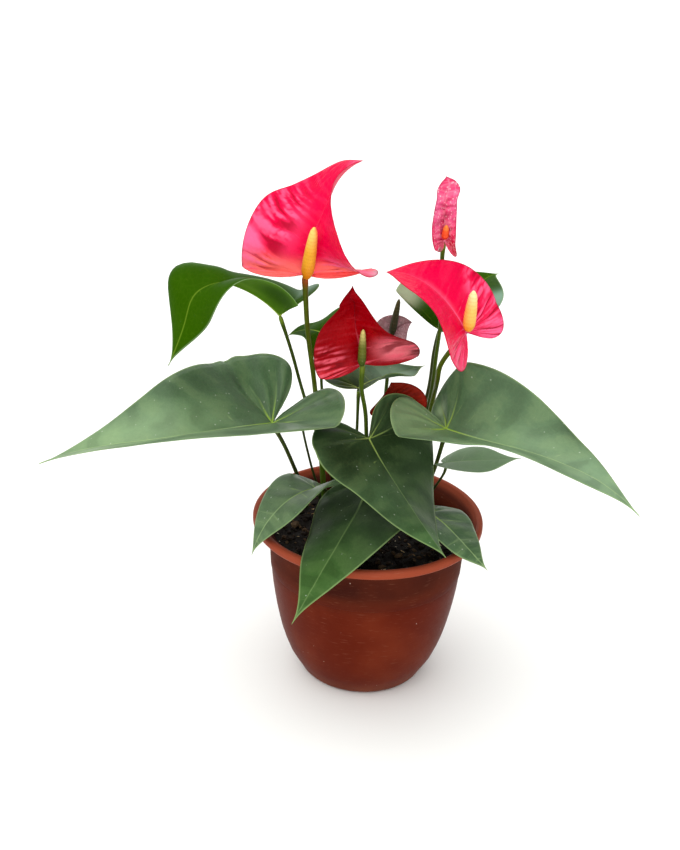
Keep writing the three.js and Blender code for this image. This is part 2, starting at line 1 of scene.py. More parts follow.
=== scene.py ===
"""Potted anthurium: fine meshes, finishes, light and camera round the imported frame.

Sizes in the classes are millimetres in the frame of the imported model: X to the right, Y away
from the front of the plant, Z up, origin in the middle of the pot's flat underside. Meshes are
written in metres.
"""

from __future__ import annotations

import logging
import math
import random
from dataclasses import dataclass, field
from enum import Enum

import bmesh
import bpy
import numpy as np
from mathutils import Matrix, Vector, noise

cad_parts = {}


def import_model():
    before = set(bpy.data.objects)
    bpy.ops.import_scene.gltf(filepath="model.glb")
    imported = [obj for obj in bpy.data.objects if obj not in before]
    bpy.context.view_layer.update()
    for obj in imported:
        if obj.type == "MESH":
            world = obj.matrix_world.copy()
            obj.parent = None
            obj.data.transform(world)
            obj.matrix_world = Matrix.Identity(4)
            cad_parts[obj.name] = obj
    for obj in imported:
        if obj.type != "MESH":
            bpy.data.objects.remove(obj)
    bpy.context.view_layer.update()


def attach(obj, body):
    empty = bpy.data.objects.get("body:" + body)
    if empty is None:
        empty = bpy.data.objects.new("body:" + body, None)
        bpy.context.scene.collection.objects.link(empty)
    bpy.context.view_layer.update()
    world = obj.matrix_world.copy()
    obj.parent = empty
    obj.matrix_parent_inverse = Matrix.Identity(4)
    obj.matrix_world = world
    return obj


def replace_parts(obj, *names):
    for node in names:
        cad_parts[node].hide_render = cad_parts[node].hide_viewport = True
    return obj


log = logging.getLogger("anthurium")

MM = 0.001  # one millimetre in metres
BODY = "root"
FULL_TURN = 2 * math.pi

SOIL_LEVEL = 100.0
STEM_HOLE_DEPTH = 13.0
STALK_COLLAR = 2.0  # height above the soil up to which a stalk is straight
FIT_GAP = 0.4  # between a stalk's foot or the soil and what holds it
SEED_STEP = (17.3, -9.1, 5.7)  # shift of the noise for each step of a seed

Colour = tuple[float, float, float]
Point = tuple[float, float, float]
Pair = tuple[float, float]
Face = tuple[int, ...]
Array = np.ndarray


class Slot(Enum):
    """Material slots of the record; each finish carries one."""

    POT = "terracotta_plastic"
    SOIL = "potting_mix"
    MATURE = "mature_leaf"
    YOUNG = "young_leaf"
    PALE = "pale_leaf"
    LEAF_STALK = "leaf_stalk"
    FLOWER_STALK = "flower_stalk"
    FRESH = "fresh_spathe"
    SHADED = "shaded_spathe"
    AGEING = "ageing_spathe"
    WITHERED = "withered_spathe"
    SPADIX = "fresh_spadix"
    ORANGE_SPADIX = "young_spadix"
    OLIVE_SPADIX = "green_spadix"
    OLD_SPADIX = "old_spadix"


# ---- Shader expressions -------------------------------------------------------------------


@dataclass(frozen=True)
class Grain:
    """A soft noise: patches per millimetre, octaves and the weight of the finer ones."""

    scale: float
    octaves: float = 2.0
    finer: float = 0.5


@dataclass(frozen=True)
class Value:
    """A number that varies over a surface, usable in Python expressions."""

    bench: Bench
    socket: bpy.types.NodeSocket

    def _math(self, operation: str, first: object, second: object = 0.0) -> Value:
        """Result of one Math node on values or numbers."""
        return self.bench.node("ShaderNodeMath", {"operation": operation}, {0: first, 1: second})

    def __add__(self, other: object) -> Value:
        """Sum."""
        return self._math("ADD", self, other)

    __radd__ = __add__

    def __sub__(self, other: object) -> Value:
        """Difference."""
        return self._math("SUBTRACT", self, other)

    def __rsub__(self, other: object) -> Value:
        """Difference, the other way round."""
        return self._math("SUBTRACT", other, self)

    def __mul__(self, other: object) -> Value:
        """Product."""
        return self._math("MULTIPLY", self, other)

    __rmul__ = __mul__

    def __pow__(self, other: object) -> Value:
        """Power."""
        return self._math("POWER", self, other)

    def most(self, other: object) -> Value:
        """The larger of the two."""
        return self._math("MAXIMUM", self, other)

    def rise(self, low: float, high: float) -> Value:
        """Smooth step.

        Args:
            low: value at which the result is 0.
            high: value at which the result is 1; below low, the step falls.

        Returns:
            A value from 0 to 1.
        """
        falls = float(low > high)
        start, end = sorted((low, high))
        ends = {"From Min": start, "From Max": end, "To Min": falls, "To Max": 1.0 - falls}
        settings = {"interpolation_type": "SMOOTHSTEP"}
        return self.bench.node("ShaderNodeMapRange", settings, {"Value": self, **ends})


class Bench:
    """A material in the making, with the nodes that its finish asks for."""

    def __init__(self, name: str) -> None:
        """Starts an empty node material.

        Args:
            name: the material's name.
        """
        self.material = bpy.data.materials.new(name)
        self.material.use_nodes = True
        self.tree = self.material.node_tree
        self.tree.nodes.clear()

    def node(
        self,
        kind: str,
        settings: dict[str, object] | None = None,
        sockets: dict[object, object] | None = None,
        output: int | str = 0,
    ) -> Value:
        """Adds one node.

        Args:
            kind: the node's type.
            settings: attributes that are set first.
            sockets: numbers, colours or values for its input sockets.
            output: which of its outputs is wanted.

        Returns:
            That output, or the first input of a node that has none.
        """
        made = self.tree.nodes.new(kind)
        for key, setting in (settings or {}).items():
            setattr(made, key, setting)
        for key, given in (sockets or {}).items():
            if isinstance(given, Value):
                self.tree.links.new(given.socket, made.inputs[key])
            elif isinstance(given, tuple) and len(given) == 3 and made.inputs[key].type == "RGBA":
                made.inputs[key].default_value = (*given, 1.0)
            else:
                made.inputs[key].default_value = given
        return Value(self, made.outputs[output] if made.outputs else made.inputs[0])

    def mix(self, first: object, second: object, share: object) -> Value:
        """Colour between a first colour, at share 0, and a second one, at share 1."""
        return self.node("ShaderNodeMix", {"data_type": "RGBA"}, {0: share, 6: first, 7: second}, 2)

    def paint(self, colour: object, *layers: tuple[object, object]) -> Value:
        """Lays paints over a colour, one after another.

        Args:
            colour: the ground.
            *layers: for each paint its 0xRRGGBB code or colour value, and its share.

        Returns:
            The painted colour.
        """
        for coat, share in layers:
            colour = self.mix(colour, coat if isinstance(coat, Value) else srgb(coat), share)
        return colour

    def scaled(self, vector: object, scale: object) -> Value:
        """Colour or vector times a number or value."""
        sockets = {0: vector, "Scale": scale}
        return self.node("ShaderNodeVectorMath", {"operation": "SCALE"}, sockets)

    def attribute(self, name: str, output: int = 1) -> Value:
        """Vector (output 1) or colour (output 0) stored on the mesh."""
        return self.node("ShaderNodeAttribute", {"attribute_name": name}, {}, output)

    def vector(self, x: object, y: object, z: object) -> Value:
        """The vector of three numbers or values."""
        return self.node("ShaderNodeCombineXYZ", {}, {0: x, 1: y, 2: z})

    def parts(self, vector: Value) -> tuple[Value, Value, Value]:
        """The three numbers of a vector."""
        outs = self.node("ShaderNodeSeparateXYZ", {}, {0: vector}).socket.node.outputs
        return Value(self, outs[0]), Value(self, outs[1]), Value(self, outs[2])

    def place(self) -> Value:
        """Place on the object in millimetres."""
        return self.scaled(self.node("ShaderNodeTexCoord", {}, {}, "Object"), 1.0 / MM)

    def cloud(self, at: Value, grain: Grain) -> Value:
        """Soft noise from 0 to 1."""
        sockets = {"Scale": grain.scale, "Detail": grain.octaves, "Roughness": grain.finer}
        return self.node("ShaderNodeTexNoise", {}, {"Vector": at, **sockets})

    def cells(self, at: Value, scale: float, edge: bool = False) -> Value:
        """Distance within round cells, or to their edges, with so many cells per millimetre."""
        feature = {"feature": "DISTANCE_TO_EDGE" if edge else "F1"}
        return self.node("ShaderNodeTexVoronoi", feature, {"Vector": at, "Scale": scale})

    def bump(self, height: Value, depth: float, strength: float) -> Value:
        """Normal of a relief from 0 to 1, so many millimetres deep."""
        sockets = {"Strength": strength, "Distance": depth * MM, "Height": height}
        return self.node("ShaderNodeBump", {}, sockets)

    def surface(self, **sockets: object) -> bpy.types.Material:
        """Finishes the material with one Principled shader.

        Args:
            **sockets: its sockets, with underscores for spaces.

        Returns:
            The material.
        """
        named = {key.replace("_", " "): given for key, given in sockets.items()}
        shader = self.node("ShaderNodeBsdfPrincipled", {}, named)
        self.node("ShaderNodeOutputMaterial", {}, {"Surface": shader})
        return self.material


def srgb(code: int) -> Colour:
    """Linear colour of a 0xRRGGBB code."""
    shares = [((code >> shift) & 255) / 255 for shift in (16, 8, 0)]
    return tuple(c / 12.92 if c <= 0.04045 else ((c + 0.055) / 1.055) ** 2.4 for c in shares)


# ---- Mesh helpers -------------------------------------------------------------------------


def read_along(values: list[float], s: Array) -> Array:
    """Reads a list of values, spread evenly over 0 to 1, in straight steps."""
    return np.interp(np.clip(s, 0, 1), np.linspace(0, 1, len(values)), values)


def read_smooth(values: list[float], s: Array, reach: float = 0.12) -> Array:
    """Reads a list as read_along does, with its corners rounded away from the ends.

    Args:
        values: the list.
        s: places from 0 to 1.
        reach: half width of the rounding in the middle.

    Returns:
        The values there.
    """
    s = np.clip(s, 0, 1)
    window = reach * 4 * s * (1 - s)
    return sum(read_along(values, s + k * window) for k in (-1, -0.5, 0, 0.5, 1)) / 5


def turns(count: int) -> Array:
    """Angles of evenly spaced corners round a circle."""
    return np.arange(count) / count * FULL_TURN


def lengths_along(line: Array) -> Array:
    """Length of a line up to each of its points."""
    return np.concatenate([[0], np.cumsum(np.linalg.norm(np.diff(line, axis=0), axis=1))])


def circle(middle: Pair, radius: float, z: float, sides: int) -> list[Point]:
    """Corners of a level ring, anticlockwise from the right."""
    x, y = middle
    return [(x + radius * math.cos(a), y + radius * math.sin(a), z) for a in turns(sides)]


def tube_faces(rings: int, sides: int, start: int = 0) -> list[Face]:
    """Quads between rings of corners that follow each other.

    Args:
        rings: how many rings there are.
        sides: corners in each ring.
        start: number of the first corner.

    Returns:
        The faces, ring by ring.
    """
    quads = []
    for row in range(start, start + (rings - 1) * sides, sides):
        for k in range(sides):
            n = (k + 1) % sides
            quads.append((row + k, row + n, row + sides + n, row + sides + k))
    return quads


def direction(heading: Array, rise: Array) -> Array:
    """Unit vectors of headings and rises in degrees."""
    h, r = np.radians(heading), np.radians(rise)
    return np.stack([np.cos(h) * np.cos(r), np.sin(h) * np.cos(r), np.sin(r)], -1)


def with_ends(points: Array) -> Array:
    """The points with one more at each end, straight on."""
    return np.vstack([2 * points[0] - points[1], points, 2 * points[-1] - points[-2]])


def smooth_outline(points: tuple[Pair, ...], places: Array) -> Array:
    """Smooth curve through flat points.

    Args:
        points: the points.
        places: where to read it, in point numbers.

    Returns:
        One flat point for each place.
    """
    p = with_ends(np.array(points, float))
    i = np.minimum(places.astype(int), len(points) - 2)
    u = (places - i)[:, None]
    a, b, c, d = p[i], p[i + 1], p[i + 2], p[i + 3]
    square, cube = 2 * a - 5 * b + 4 * c - d, 3 * b - a - 3 * c + d
    return 0.5 * (2 * b + (c - a) * u + square * u**2 + cube * u**3)


def stalk_curve(points: list[Point], steps: int) -> Array:
    """Smooth line through points whose spacing may vary, without loops.

    Args:
        points: the points.
        steps: samples in each span.

    Returns:
        Places along the line.
    """
    p = with_ends(np.array(points, float))
    line = [p[1]]
    for i in range(1, len(p) - 2):
        p0, p1, p2, p3 = p[i - 1 : i + 3]
        t0, t1, t2 = [math.sqrt(np.linalg.norm(b - a)) for a, b in ((p0, p1), (p1, p2), (p2, p3))]
        m1 = ((p1 - p0) / t0 - (p2 - p0) / (t0 + t1) + (p2 - p1) / t1) * t1
        m2 = ((p2 - p1) / t1 - (p3 - p1) / (t1 + t2) + (p3 - p2) / t2) * t1
        for step in range(1, steps + 1):
            u = step / steps
            h = (2 * u**3 - 3 * u**2 + 1, u**3 - 2 * u**2 + u, -2 * u**3 + 3 * u**2, u**3 - u**2)
            line.append(h[0] * p1 + h[1] * m1 + h[2] * p2 + h[3] * m2)
    return np.array(line)


def ripple(places: Array, scale: float, seed: float) -> Array:
    """Soft noise from -1 to 1 at each row of places, with so many patches per unit."""
    shift = Vector([seed * step for step in SEED_STEP])
    return np.array([noise.noise(Vector(p) * scale + shift) for p in places.tolist()])


def set_up(name: str, data: bpy.types.ID) -> bpy.types.Object:
    """Puts a new object into the scene.

    Args:
        name: its name.
        data: its mesh, lamp or camera.

    Returns:
        The object.
    """
    thing = bpy.data.objects.new(name, data)
    bpy.context.scene.collection.objects.link(thing)
    return thing


@dataclass
class Skin:
    """A mesh in the making: places in millimetres, faces, and numbers kept on face corners."""

    name: str
    places: Array
    faces: list[Face]
    corner_rows: list[Face] = field(default_factory=list)
    corner_data: dict[str, Array] = field(default_factory=dict)

    def build(
        self, material: bpy.types.Material, slot: Slot, smooth: bool = True
    ) -> bpy.types.Object:
        """Makes the Blender object.

        Args:
            material: its finish.
            slot: the record's material slot; not used.
            smooth: smooth shading.

        Returns:
            The object, riding on the part's one body.
        """
        mesh = bpy.data.meshes.new(self.name)
        mesh.from_pydata((self.places * MM).tolist(), [], self.faces)
        rows = self.corner_rows or self.faces
        flat = np.array([i for face in rows for i in face])
        for key, data in self.corner_data.items():
            kind = "FLOAT_COLOR" if data.shape[1] == 4 else "FLOAT_VECTOR"
            layer = mesh.attributes.new(key, kind, "CORNER")
            target = "color" if kind == "FLOAT_COLOR" else "vector"
            layer.data.foreach_set(target, data[flat].astype(np.float32).ravel())
        mesh.polygons.foreach_set("use_smooth", [smooth] * len(mesh.polygons))
        mesh.materials.append(material)
        mesh.update()
        thing = set_up(self.name, mesh)
        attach(thing, BODY)
        log.info("%s: %d faces", self.name, len(self.faces))
        return thing


def round_skin(name: str, centres: Array, radii: Array, sides: int) -> Skin:
    """Round closed skin through centres.

    Args:
        name: the piece's name.
        centres: middle line.
        radii: one radius for each centre, or one for each centre and side.
        sides: corners of each ring.

    Returns:
        The skin, with "stalk_place" on it: length along, share of the length, turn.
    """
    along = np.gradient(centres, axis=0)
    along /= np.linalg.norm(along, axis=1)[:, None]
    count = len(centres)
    length = lengths_along(centres)
    radii = np.broadcast_to(np.array(radii).reshape(count, -1), (count, sides))
    angles = turns(sides)
    cosines, sines = np.cos(angles)[:, None], np.sin(angles)[:, None]
    across = np.array([1.0, 0.0, 0.0])
    rings = []
    for centre, axis, radius in zip(centres, along, radii):
        across = across - axis * (across @ axis)
        across /= np.linalg.norm(across)
        over = np.cross(axis, across)
        rings.append(centre + (cosines * across + sines * over) * radius[:, None])
    places = np.vstack([*rings, centres[:1], centres[-1:]])
    faces = tube_faces(count, sides)
    low, high = count * sides, count * sides + 1
    for k in range(sides):
        n = (k + 1) % sides
        faces += [(low, n, k), (high, low - sides + k, low - sides + n)]
    place = np.zeros((len(places), 3))
    place[:low, 0] = np.repeat(length, sides)
    place[:low, 1] = np.repeat(length / length[-1], sides)
    place[:low, 2] = np.tile(angles, count)
    place[high] = (length[-1], 1, 0)
    return Skin(name, places, faces, [], {"stalk_place": place})


# ---- Finishes -----------------------------------------------------------------------------


@dataclass(frozen=True)
class Patch:
    """A soft-edged place on a blade, in blade lengths and half widths, left positive."""

    at: Pair
    reach: Pair
    strength: float = 1.0

    def share(self, x: Array, y: Array) -> Array:
        """How strongly the patch covers each place, from 0 to its strength."""
        spread = ((x - self.at[0]) / self.reach[0]) ** 2 + ((y - self.at[1]) / self.reach[1]) ** 2
        return self.strength * np.exp(-(spread**1.5))


@dataclass(frozen=True)
class Wash(Patch):
    """A patch of colour: the blade's own colour in some places, painted sheen and painted shade in
    others.
    """

    colour: int = 0


@dataclass(frozen=True)
class Nudge(Patch):
    """A patch that bends the sheet by so many millimetres."""

    shift: Point = (0.0, 0.0, 0.0)


@dataclass(frozen=True)
class BladeFinish:
    """Waxy finish of a leaf or spathe.

    Where near_vein or shade is 0, veins near the stalk have the colour of the others, and the
    painted shade in the creases has that of the margin. A step is a pair of values at which a mark
    starts and is full.
    """

    name: str
    slot: Slot
    upper: int
    under: int
    vein: int
    margin: int
    near_vein: int = 0
    shade: int = 0
    speck: int = 0xB9C4B0
    spot: int = 0xF7C9D2
    vein_share: float = 0.45
    vein_width: float = 0.8
    margin_share: float = 0.5
    net_share: float = 0.12
    roughness: float = 0.42
    mottle: float = 0.16
    dust: float = 0.25
    relief: float = 0.12
    ridge_light: float = 0.0
    calm: float = 0.36
    calm_share: float = 0.06
    speckle: float = 0.0
    gloss: float = 0.18
    near_reach: float = 34.0
    clouds: Grain = Grain(0.035, 3.0, 0.55)
    flecks: Grain = Grain(0.35, 4.0, 0.6)
    grain: Grain = Grain(2.2)
    net_scale: float = 0.3
    speck_scale: float = 0.16
    spot_scale: float = 0.55
    face_shift: float = 40.0
    vein_core: float = 0.1
    midrib_step: Pair = (1.1, 0.35)
    thin_step: Pair = (0.45, 0.0)
    net_step: Pair = (0.12, 0.0)
    margin_step: Pair = (1.3, 0.2)
    crest_step: Pair = (0.35, 0.8)
    crease_step: Pair = (0.36, 0.08)
    speck_step: Pair = (0.11, 0.05)
    spot_step: Pair = (0.34, 0.16)

    def material(self) -> bpy.types.Material:
        """Node material: base colour from the mesh, veins, net, margin, mottling and dust, painted
        highlights on the crests of the puckers and painted shade in their creases.

        Returns:
            The material.
        """
        bench = Bench(self.name)
        along, across, under = bench.parts(bench.attribute("blade_place"))
        vein_mm, fine_mm, blister = bench.parts(bench.attribute("blade_veins"))
        edge_mm, rumple, midrib_mm = bench.parts(bench.attribute("blade_edge"))
        flat = bench.vector(along, across, under * self.face_shift)
        kinds = (self.clouds, self.flecks, self.grain)
        broad, fine, grain = (bench.cloud(flat, kind) for kind in kinds)
        net = bench.cells(flat, self.net_scale, edge=True)
        near = ((along * along + across * across) ** 0.5).rise(self.near_reach, 0.0)
        side_veins = vein_mm.rise(self.vein_width, self.vein_core) * (0.55 + near * 0.45)
        vein = side_veins.most(midrib_mm.rise(*self.midrib_step))
        thin_veins = fine_mm.rise(*self.thin_step) * 0.3 * self.vein_share
        lines = vein * (self.vein_share + near * (0.95 - self.vein_share))
        vein_paint = bench.mix(srgb(self.vein), srgb(self.near_vein or self.vein), near)
        layers = [
            (self.vein, net.rise(*self.net_step) * (fine * self.net_share * 2.0)),
            (vein_paint, lines.most(thin_veins)),
        ]
        # painted highlight on the crests of the puckers, in the vein colour, and painted shade in
        # the creases between them
        if self.ridge_light:
            rough_part = rumple.rise(self.calm, 1.1)
            crest_highlight_share = (self.calm_share + rough_part) * self.ridge_light
            crease_shade_share = self.calm_share + rough_part * 0.72
            layers += [
                (self.vein, blister.rise(*self.crest_step) * crest_highlight_share),
                (self.shade or self.margin, blister.rise(*self.crease_step) * crease_shade_share),
            ]
        layers.append((self.margin, edge_mm.rise(*self.margin_step) * self.margin_share))
        if self.speckle:
            dots = bench.cells(flat, self.spot_scale).rise(*self.spot_step)
            layers.append((self.spot, dots * (grain.rise(0.4, 0.55) * self.speckle)))
        specks = bench.cells(flat, self.speck_scale).rise(*self.speck_step)
        layers.append((self.speck, specks * (broad.rise(0.35, 0.6) * self.dust)))
        mottling = 1.0 + (broad - 0.5) * (2.2 * self.mottle) + (fine - 0.5) * self.mottle
        ground = bench.scaled(bench.attribute("blade_tone", 0), mottling)
        relief = fine * 0.5 + net.rise(0.0, 0.3) * 0.35 + vein * -0.4 + grain * 0.08
        return bench.surface(
            Base_Color=bench.paint(ground, *layers),
            Roughness=self.roughness + (broad - 0.5) * 0.16 + (grain - 0.5) * 0.1 + under * 0.18,
            Normal=bench.bump(relief, self.relief, 0.9),
            Specular_IOR_Level=self.gloss,
        )


@dataclass(frozen=True)
class SpatheFinish(BladeFinish):
    """Waxy or dried finish of a spathe, free of dust."""

    net_share: float = 0.0
    dust: float = 0.0
    relief: float = 0.35
    gloss: float = 0.05


@dataclass(frozen=True)
class StalkFinish:
    """Smooth stalk: green with brown streaks, a shade of its own near the blade."""

    name: str
    slot: Slot
    low: int
    high: int
    top: int
    streak: int
    pore: int = 0x9A8F62
    roughness: float = 0.45
    streaks: Grain = Grain(2.4, 4.0, 0.6)
    clouds: Grain = Grain(0.06)
    pore_scale: float = 0.55
    turning: Pair = (0.1, 0.75)
    top_share: Pair = (0.945, 0.985)

    def material(self) -> bpy.types.Material:
        """Node material: colour along the stalk, long streaks, small pores.

        Returns:
            The material.
        """
        bench = Bench(self.name)
        length, share, turn = bench.parts(bench.attribute("stalk_place"))
        streaks = bench.cloud(bench.vector(length * 0.06, turn * 0.9, share), self.streaks)
        at = bench.place()
        pores = bench.cells(at, self.pore_scale).rise(0.16, 0.05) * 0.35
        colour = bench.paint(
            srgb(self.low),
            (self.high, share.rise(*self.turning)),
            (self.top, share.rise(*self.top_share)),
            (self.streak, streaks.rise(0.48, 0.68) * 0.5),
        )
        shaded = bench.scaled(colour, 0.8 + bench.cloud(at, self.clouds) * 0.45)
        return bench.surface(
            Base_Color=bench.paint(shaded, (self.pore, pores)),
            Roughness=self.roughness + (streaks - 0.5) * 0.2,
            Normal=bench.bump(streaks * 0.7 + pores, 0.12, 0.8),
            Specular_IOR_Level=0.2,
        )


@dataclass(frozen=True)
class SpadixFinish:
    """Beaded spadix: golden or green at the base, paler towards the tip."""

    name: str
    slot: Slot
    base: int
    middle: int
    tip: int
    bead_gap_painted_shade: int
    bead_painted_highlight: int = 0xFFF1C8
    turning: Pair = (0.02, 0.45)
    paling: Pair = (0.5, 0.98)
    clouds: Grain = Grain(0.25, 3.0)
    spots: Grain = Grain(1.4)

    def material(self) -> bpy.types.Material:
        """Node material: colour along the spadix, painted shade between the beads and painted
        highlights on their tops.

        Returns:
            The material.
        """
        bench = Bench(self.name)
        _, share, _ = bench.parts(bench.attribute("stalk_place"))
        bead, _, _ = bench.parts(bench.attribute("bead"))
        at = bench.place()
        cloud, spot = bench.cloud(at, self.clouds), bench.cloud(at, self.spots)
        middle, tip = share.rise(*self.turning), share.rise(*self.paling)
        colour = bench.paint(srgb(self.base), (self.middle, middle), (self.tip, tip))
        colour = bench.paint(
            bench.scaled(colour, 0.86 + cloud * 0.3),
            # painted shade between the beads
            (self.bead_gap_painted_shade, bead.rise(0.45, 0.05) * 0.38),
            # painted highlight on the tops of the beads
            (self.bead_painted_highlight, (bead.rise(0.75, 1.0) * spot.rise(0.5, 0.7)) * 0.35),
        )
        return bench.surface(
            Base_Color=colour,
            Roughness=0.5 + (spot - 0.5) * 0.2,
            Normal=bench.bump(spot * 0.4 + cloud * 0.3, 0.1, 0.6),
            Specular_IOR_Level=0.2,
        )


@dataclass(frozen=True)
class Ring:
    """A soft-edged ring round the pot, from its heights and radii in millimetres."""

    heights: Pair
    radii: Pair

    def share(self, z: Value, radius: Value) -> Value:
        """How strongly the ring covers each place."""
        return z.rise(*self.heights) * radius.rise(*self.radii)


@dataclass(frozen=True)
class PotFinish:
    """Satin terracotta-coloured plastic with dust and scuffs, painted light below the lip and
    painted shade inside.
    """

    name: str = "terracotta plastic"
    body: int = 0x571806
    light: int = 0x86391F
    dark: int = 0x4E1609
    dust: int = 0xA5735A
    rim: int = 0x8C402C
    # painted light: a lighter colour for the band below the lip, which lies in the rim's shade
    neck_painted_light: int = 0xA04420
    # painted shade: a dark colour for the inner wall above the soil, which lies in the shade of the
    # rim and leaves
    inner_painted_shade: int = 0x2C0E0A
    speck: int = 0xE3C4B2
    neck_painted_light_ring: Ring = Ring((78.0, 92.0), (58.0, 62.0))
    lip_ring: Ring = Ring((101.5, 107.0), (64.0, 67.5))
    edge_ring: Ring = Ring((111.6, 113.8), (68.5, 71.0))
    inner_ring: Ring = Ring((113.0, 109.0), (70.5, 68.5))
    inner_depth: Pair = (70.0, 90.0)
    dusty_foot: Pair = (14.0, 0.0)
    clouds: Grain = Grain(0.022, 3.0)
    flecks: Grain = Grain(0.5, 4.0, 0.6)
    scuffs: Grain = Grain(0.8, 4.0)
    grain: Grain = Grain(1.6, 3.0, 0.6)
    speck_scale: float = 0.11

    def material(self) -> bpy.types.Material:
        """Node material: mottled colour, worn rim edge, fine scratches, painted light below the
        lip, painted shade on the inner wall.

        Returns:
            The material.
        """
        bench = Bench(self.name)
        at = bench.place()
        x, y, z = bench.parts(at)
        radius = (x * x + y * y) ** 0.5
        turn = bench.node("ShaderNodeMath", {"operation": "ARCTAN2"}, {0: y, 1: x})
        broad, fine = bench.cloud(at, self.clouds), bench.cloud(at, self.flecks)
        scuff = bench.cloud(bench.vector(turn * 9.0, z * 1.6, 0.0), self.scuffs)
        grain = bench.cloud(bench.vector(turn * 60.0, z, radius * 0.3), self.grain)
        inner = self.inner_ring.share(z, radius) * z.rise(*self.inner_depth)
        # painted shade on the inner wall above the soil
        inner_painted_shade = inner * (0.6 + broad * 0.5)
        marks = scuff.rise(0.6, 0.72) * 0.16
        specks = bench.cells(at, self.speck_scale).rise(0.055, 0.03)
        colour = bench.paint(
            srgb(self.body),
            (self.light, broad.rise(0.42, 0.75) * 0.28),
            (self.dark, fine.rise(0.55, 0.8) * 0.3),
            # painted light on the band below the lip, against the rim's shade
            (self.neck_painted_light, self.neck_painted_light_ring.share(z, radius) * 0.85),
            (self.rim, self.lip_ring.share(z, radius) * 0.8),
            (self.rim, self.edge_ring.share(z, radius) * (0.25 + fine * 0.3)),
            (self.inner_painted_shade, inner_painted_shade),
            (self.dust, marks),
            (self.speck, specks * fine.rise(0.45, 0.6) * 0.7),
            (self.dust, z.rise(*self.dusty_foot) * (broad * 0.35)),
        )
        return bench.surface(
            Base_Color=colour,
            Roughness=0.42 + (fine - 0.5) * 0.22 + marks + inner_painted_shade * 0.3,
            Normal=bench.bump(grain * 0.35 + fine * 0.4 + scuff * 0.25, 0.09, 0.7),
            Specular_IOR_Level=0.04,
        )


@dataclass(frozen=True)
class SoilFinish:
    """Damp peat with bark, each chip in a shade of its own."""

    name: str = "bark and peat mix"
    damp: int = 0x120B08
    crumbs: Grain = Grain(0.9, 5.0, 0.65)
    puddles: Grain = Grain(0.06)
    fibres: Grain = Grain(3.5, 3.0, 0.6)

    def material(self) -> bpy.types.Material:
        """Node material: chip colour from the mesh, fibres, damp dark patches.

        Returns:
            The material.
        """
        bench = Bench(self.name)
        at = bench.place()
        fine, fibre = bench.cloud(at, self.crumbs), bench.cloud(at, self.fibres)
        damp = bench.cloud(at, self.puddles).rise(0.55, 0.75) * 0.5
        chips = bench.scaled(bench.attribute("chip_tone", 0), 0.55 + fine * 0.9)
        return bench.surface(
            Base_Color=bench.paint(chips, (self.damp, damp)),
            Roughness=0.78 + (fibre - 0.5) * 0.3,
            Normal=bench.bump(fine * 0.7 + fibre * 0.3, 0.5, 0.9),
            Specular_IOR_Level=0.15,
        )


@dataclass(frozen=True)
class StudioFinish:
    """Matt pale floor."""

    name: str = "studio floor"
    pale: int = 0xF6F6F4
    dull: int = 0xF1F1EE
    clouds: Grain = Grain(0.004)

    def material(self) -> bpy.types.Material:
        """Node material: almost even pale paint.

        Returns:
            The material.
        """
        bench = Bench(self.name)
        cloud = bench.cloud(bench.place(), self.clouds)
        colour = bench.paint(srgb(self.pale), (self.dull, cloud))
        return bench.surface(Base_Color=colour, Roughness=0.9, Specular_IOR_Level=0.1)


Finish = BladeFinish | StalkFinish | SpadixFinish | PotFinish | SoilFinish | StudioFinish


def dress(finish: Finish) -> bpy.types.Material:
    """The material of a finish, made once for all its pieces."""
    return bpy.data.materials.get(finish.name) or finish.material()


# ---- Blades -------------------------------------------------------------------------------

LEAF_OUTLINE: tuple[Pair, ...] = (
    (1, 0), (0.94, 0.03), (0.86, 0.13), (0.74, 0.33), (0.6, 0.56), (0.44, 0.78), (0.27, 0.94),
    (0.1, 1), (-0.06, 0.93), (-0.18, 0.74), (-0.25, 0.5), (-0.26, 0.28), (-0.2, 0.12),
    (-0.1, 0.04), (0, 0),
)
SPATHE_OUTLINE: tuple[Pair, ...] = (
    (1, 0), (0.97, 0.05), (0.9, 0.17), (0.79, 0.38), (0.64, 0.63), (0.47, 0.84), (0.3, 0.97),
    (0.13, 1), (-0.02, 0.93), (-0.13, 0.76), (-0.18, 0.55), (-0.17, 0.33), (-0.11, 0.16),
    (0, 0),
)
FAN_REACH = 0.12  # length of midrib that the fan lines of the lobes start from
OUTLINE_SHARE = 14 / 15  # the margin stops short of the sinus, as the solid's does
MIDRIB_STEPS = 48
WELD_DIGITS = 4


@dataclass
class Half:
    """One half of a blade's flat pattern, row by row from the tip round to the lobe.

    Attributes:
        side: 0 left, 1 right, looking from base to tip.
        x: places along the blade, in blade lengths.
        y: places across it, in half widths, left positive.
        out: share of the way from midrib to margin.
        flat: the places in millimetres.
        reach: length of the fan line that each place lies on.
        spacing: millimetres from one fan line to the next.
        fan: vein number, whole on a vein.
        blister: height of the puckers, 0 in a crease to 1 on top.
        rumple: how much puckered each place is.
    """

    side: int
    x: Array
    y: Array
    out: Array
    flat: Array
    reach: Array
    spacing: Array
    fan: Array
    blister: Array = field(init=False)
    rumple: Array = field(init=False)

    def __post_init__(self) -> None:
        """Starts without puckers."""
        self.blister = self.rumple = np.zeros(len(self.x))


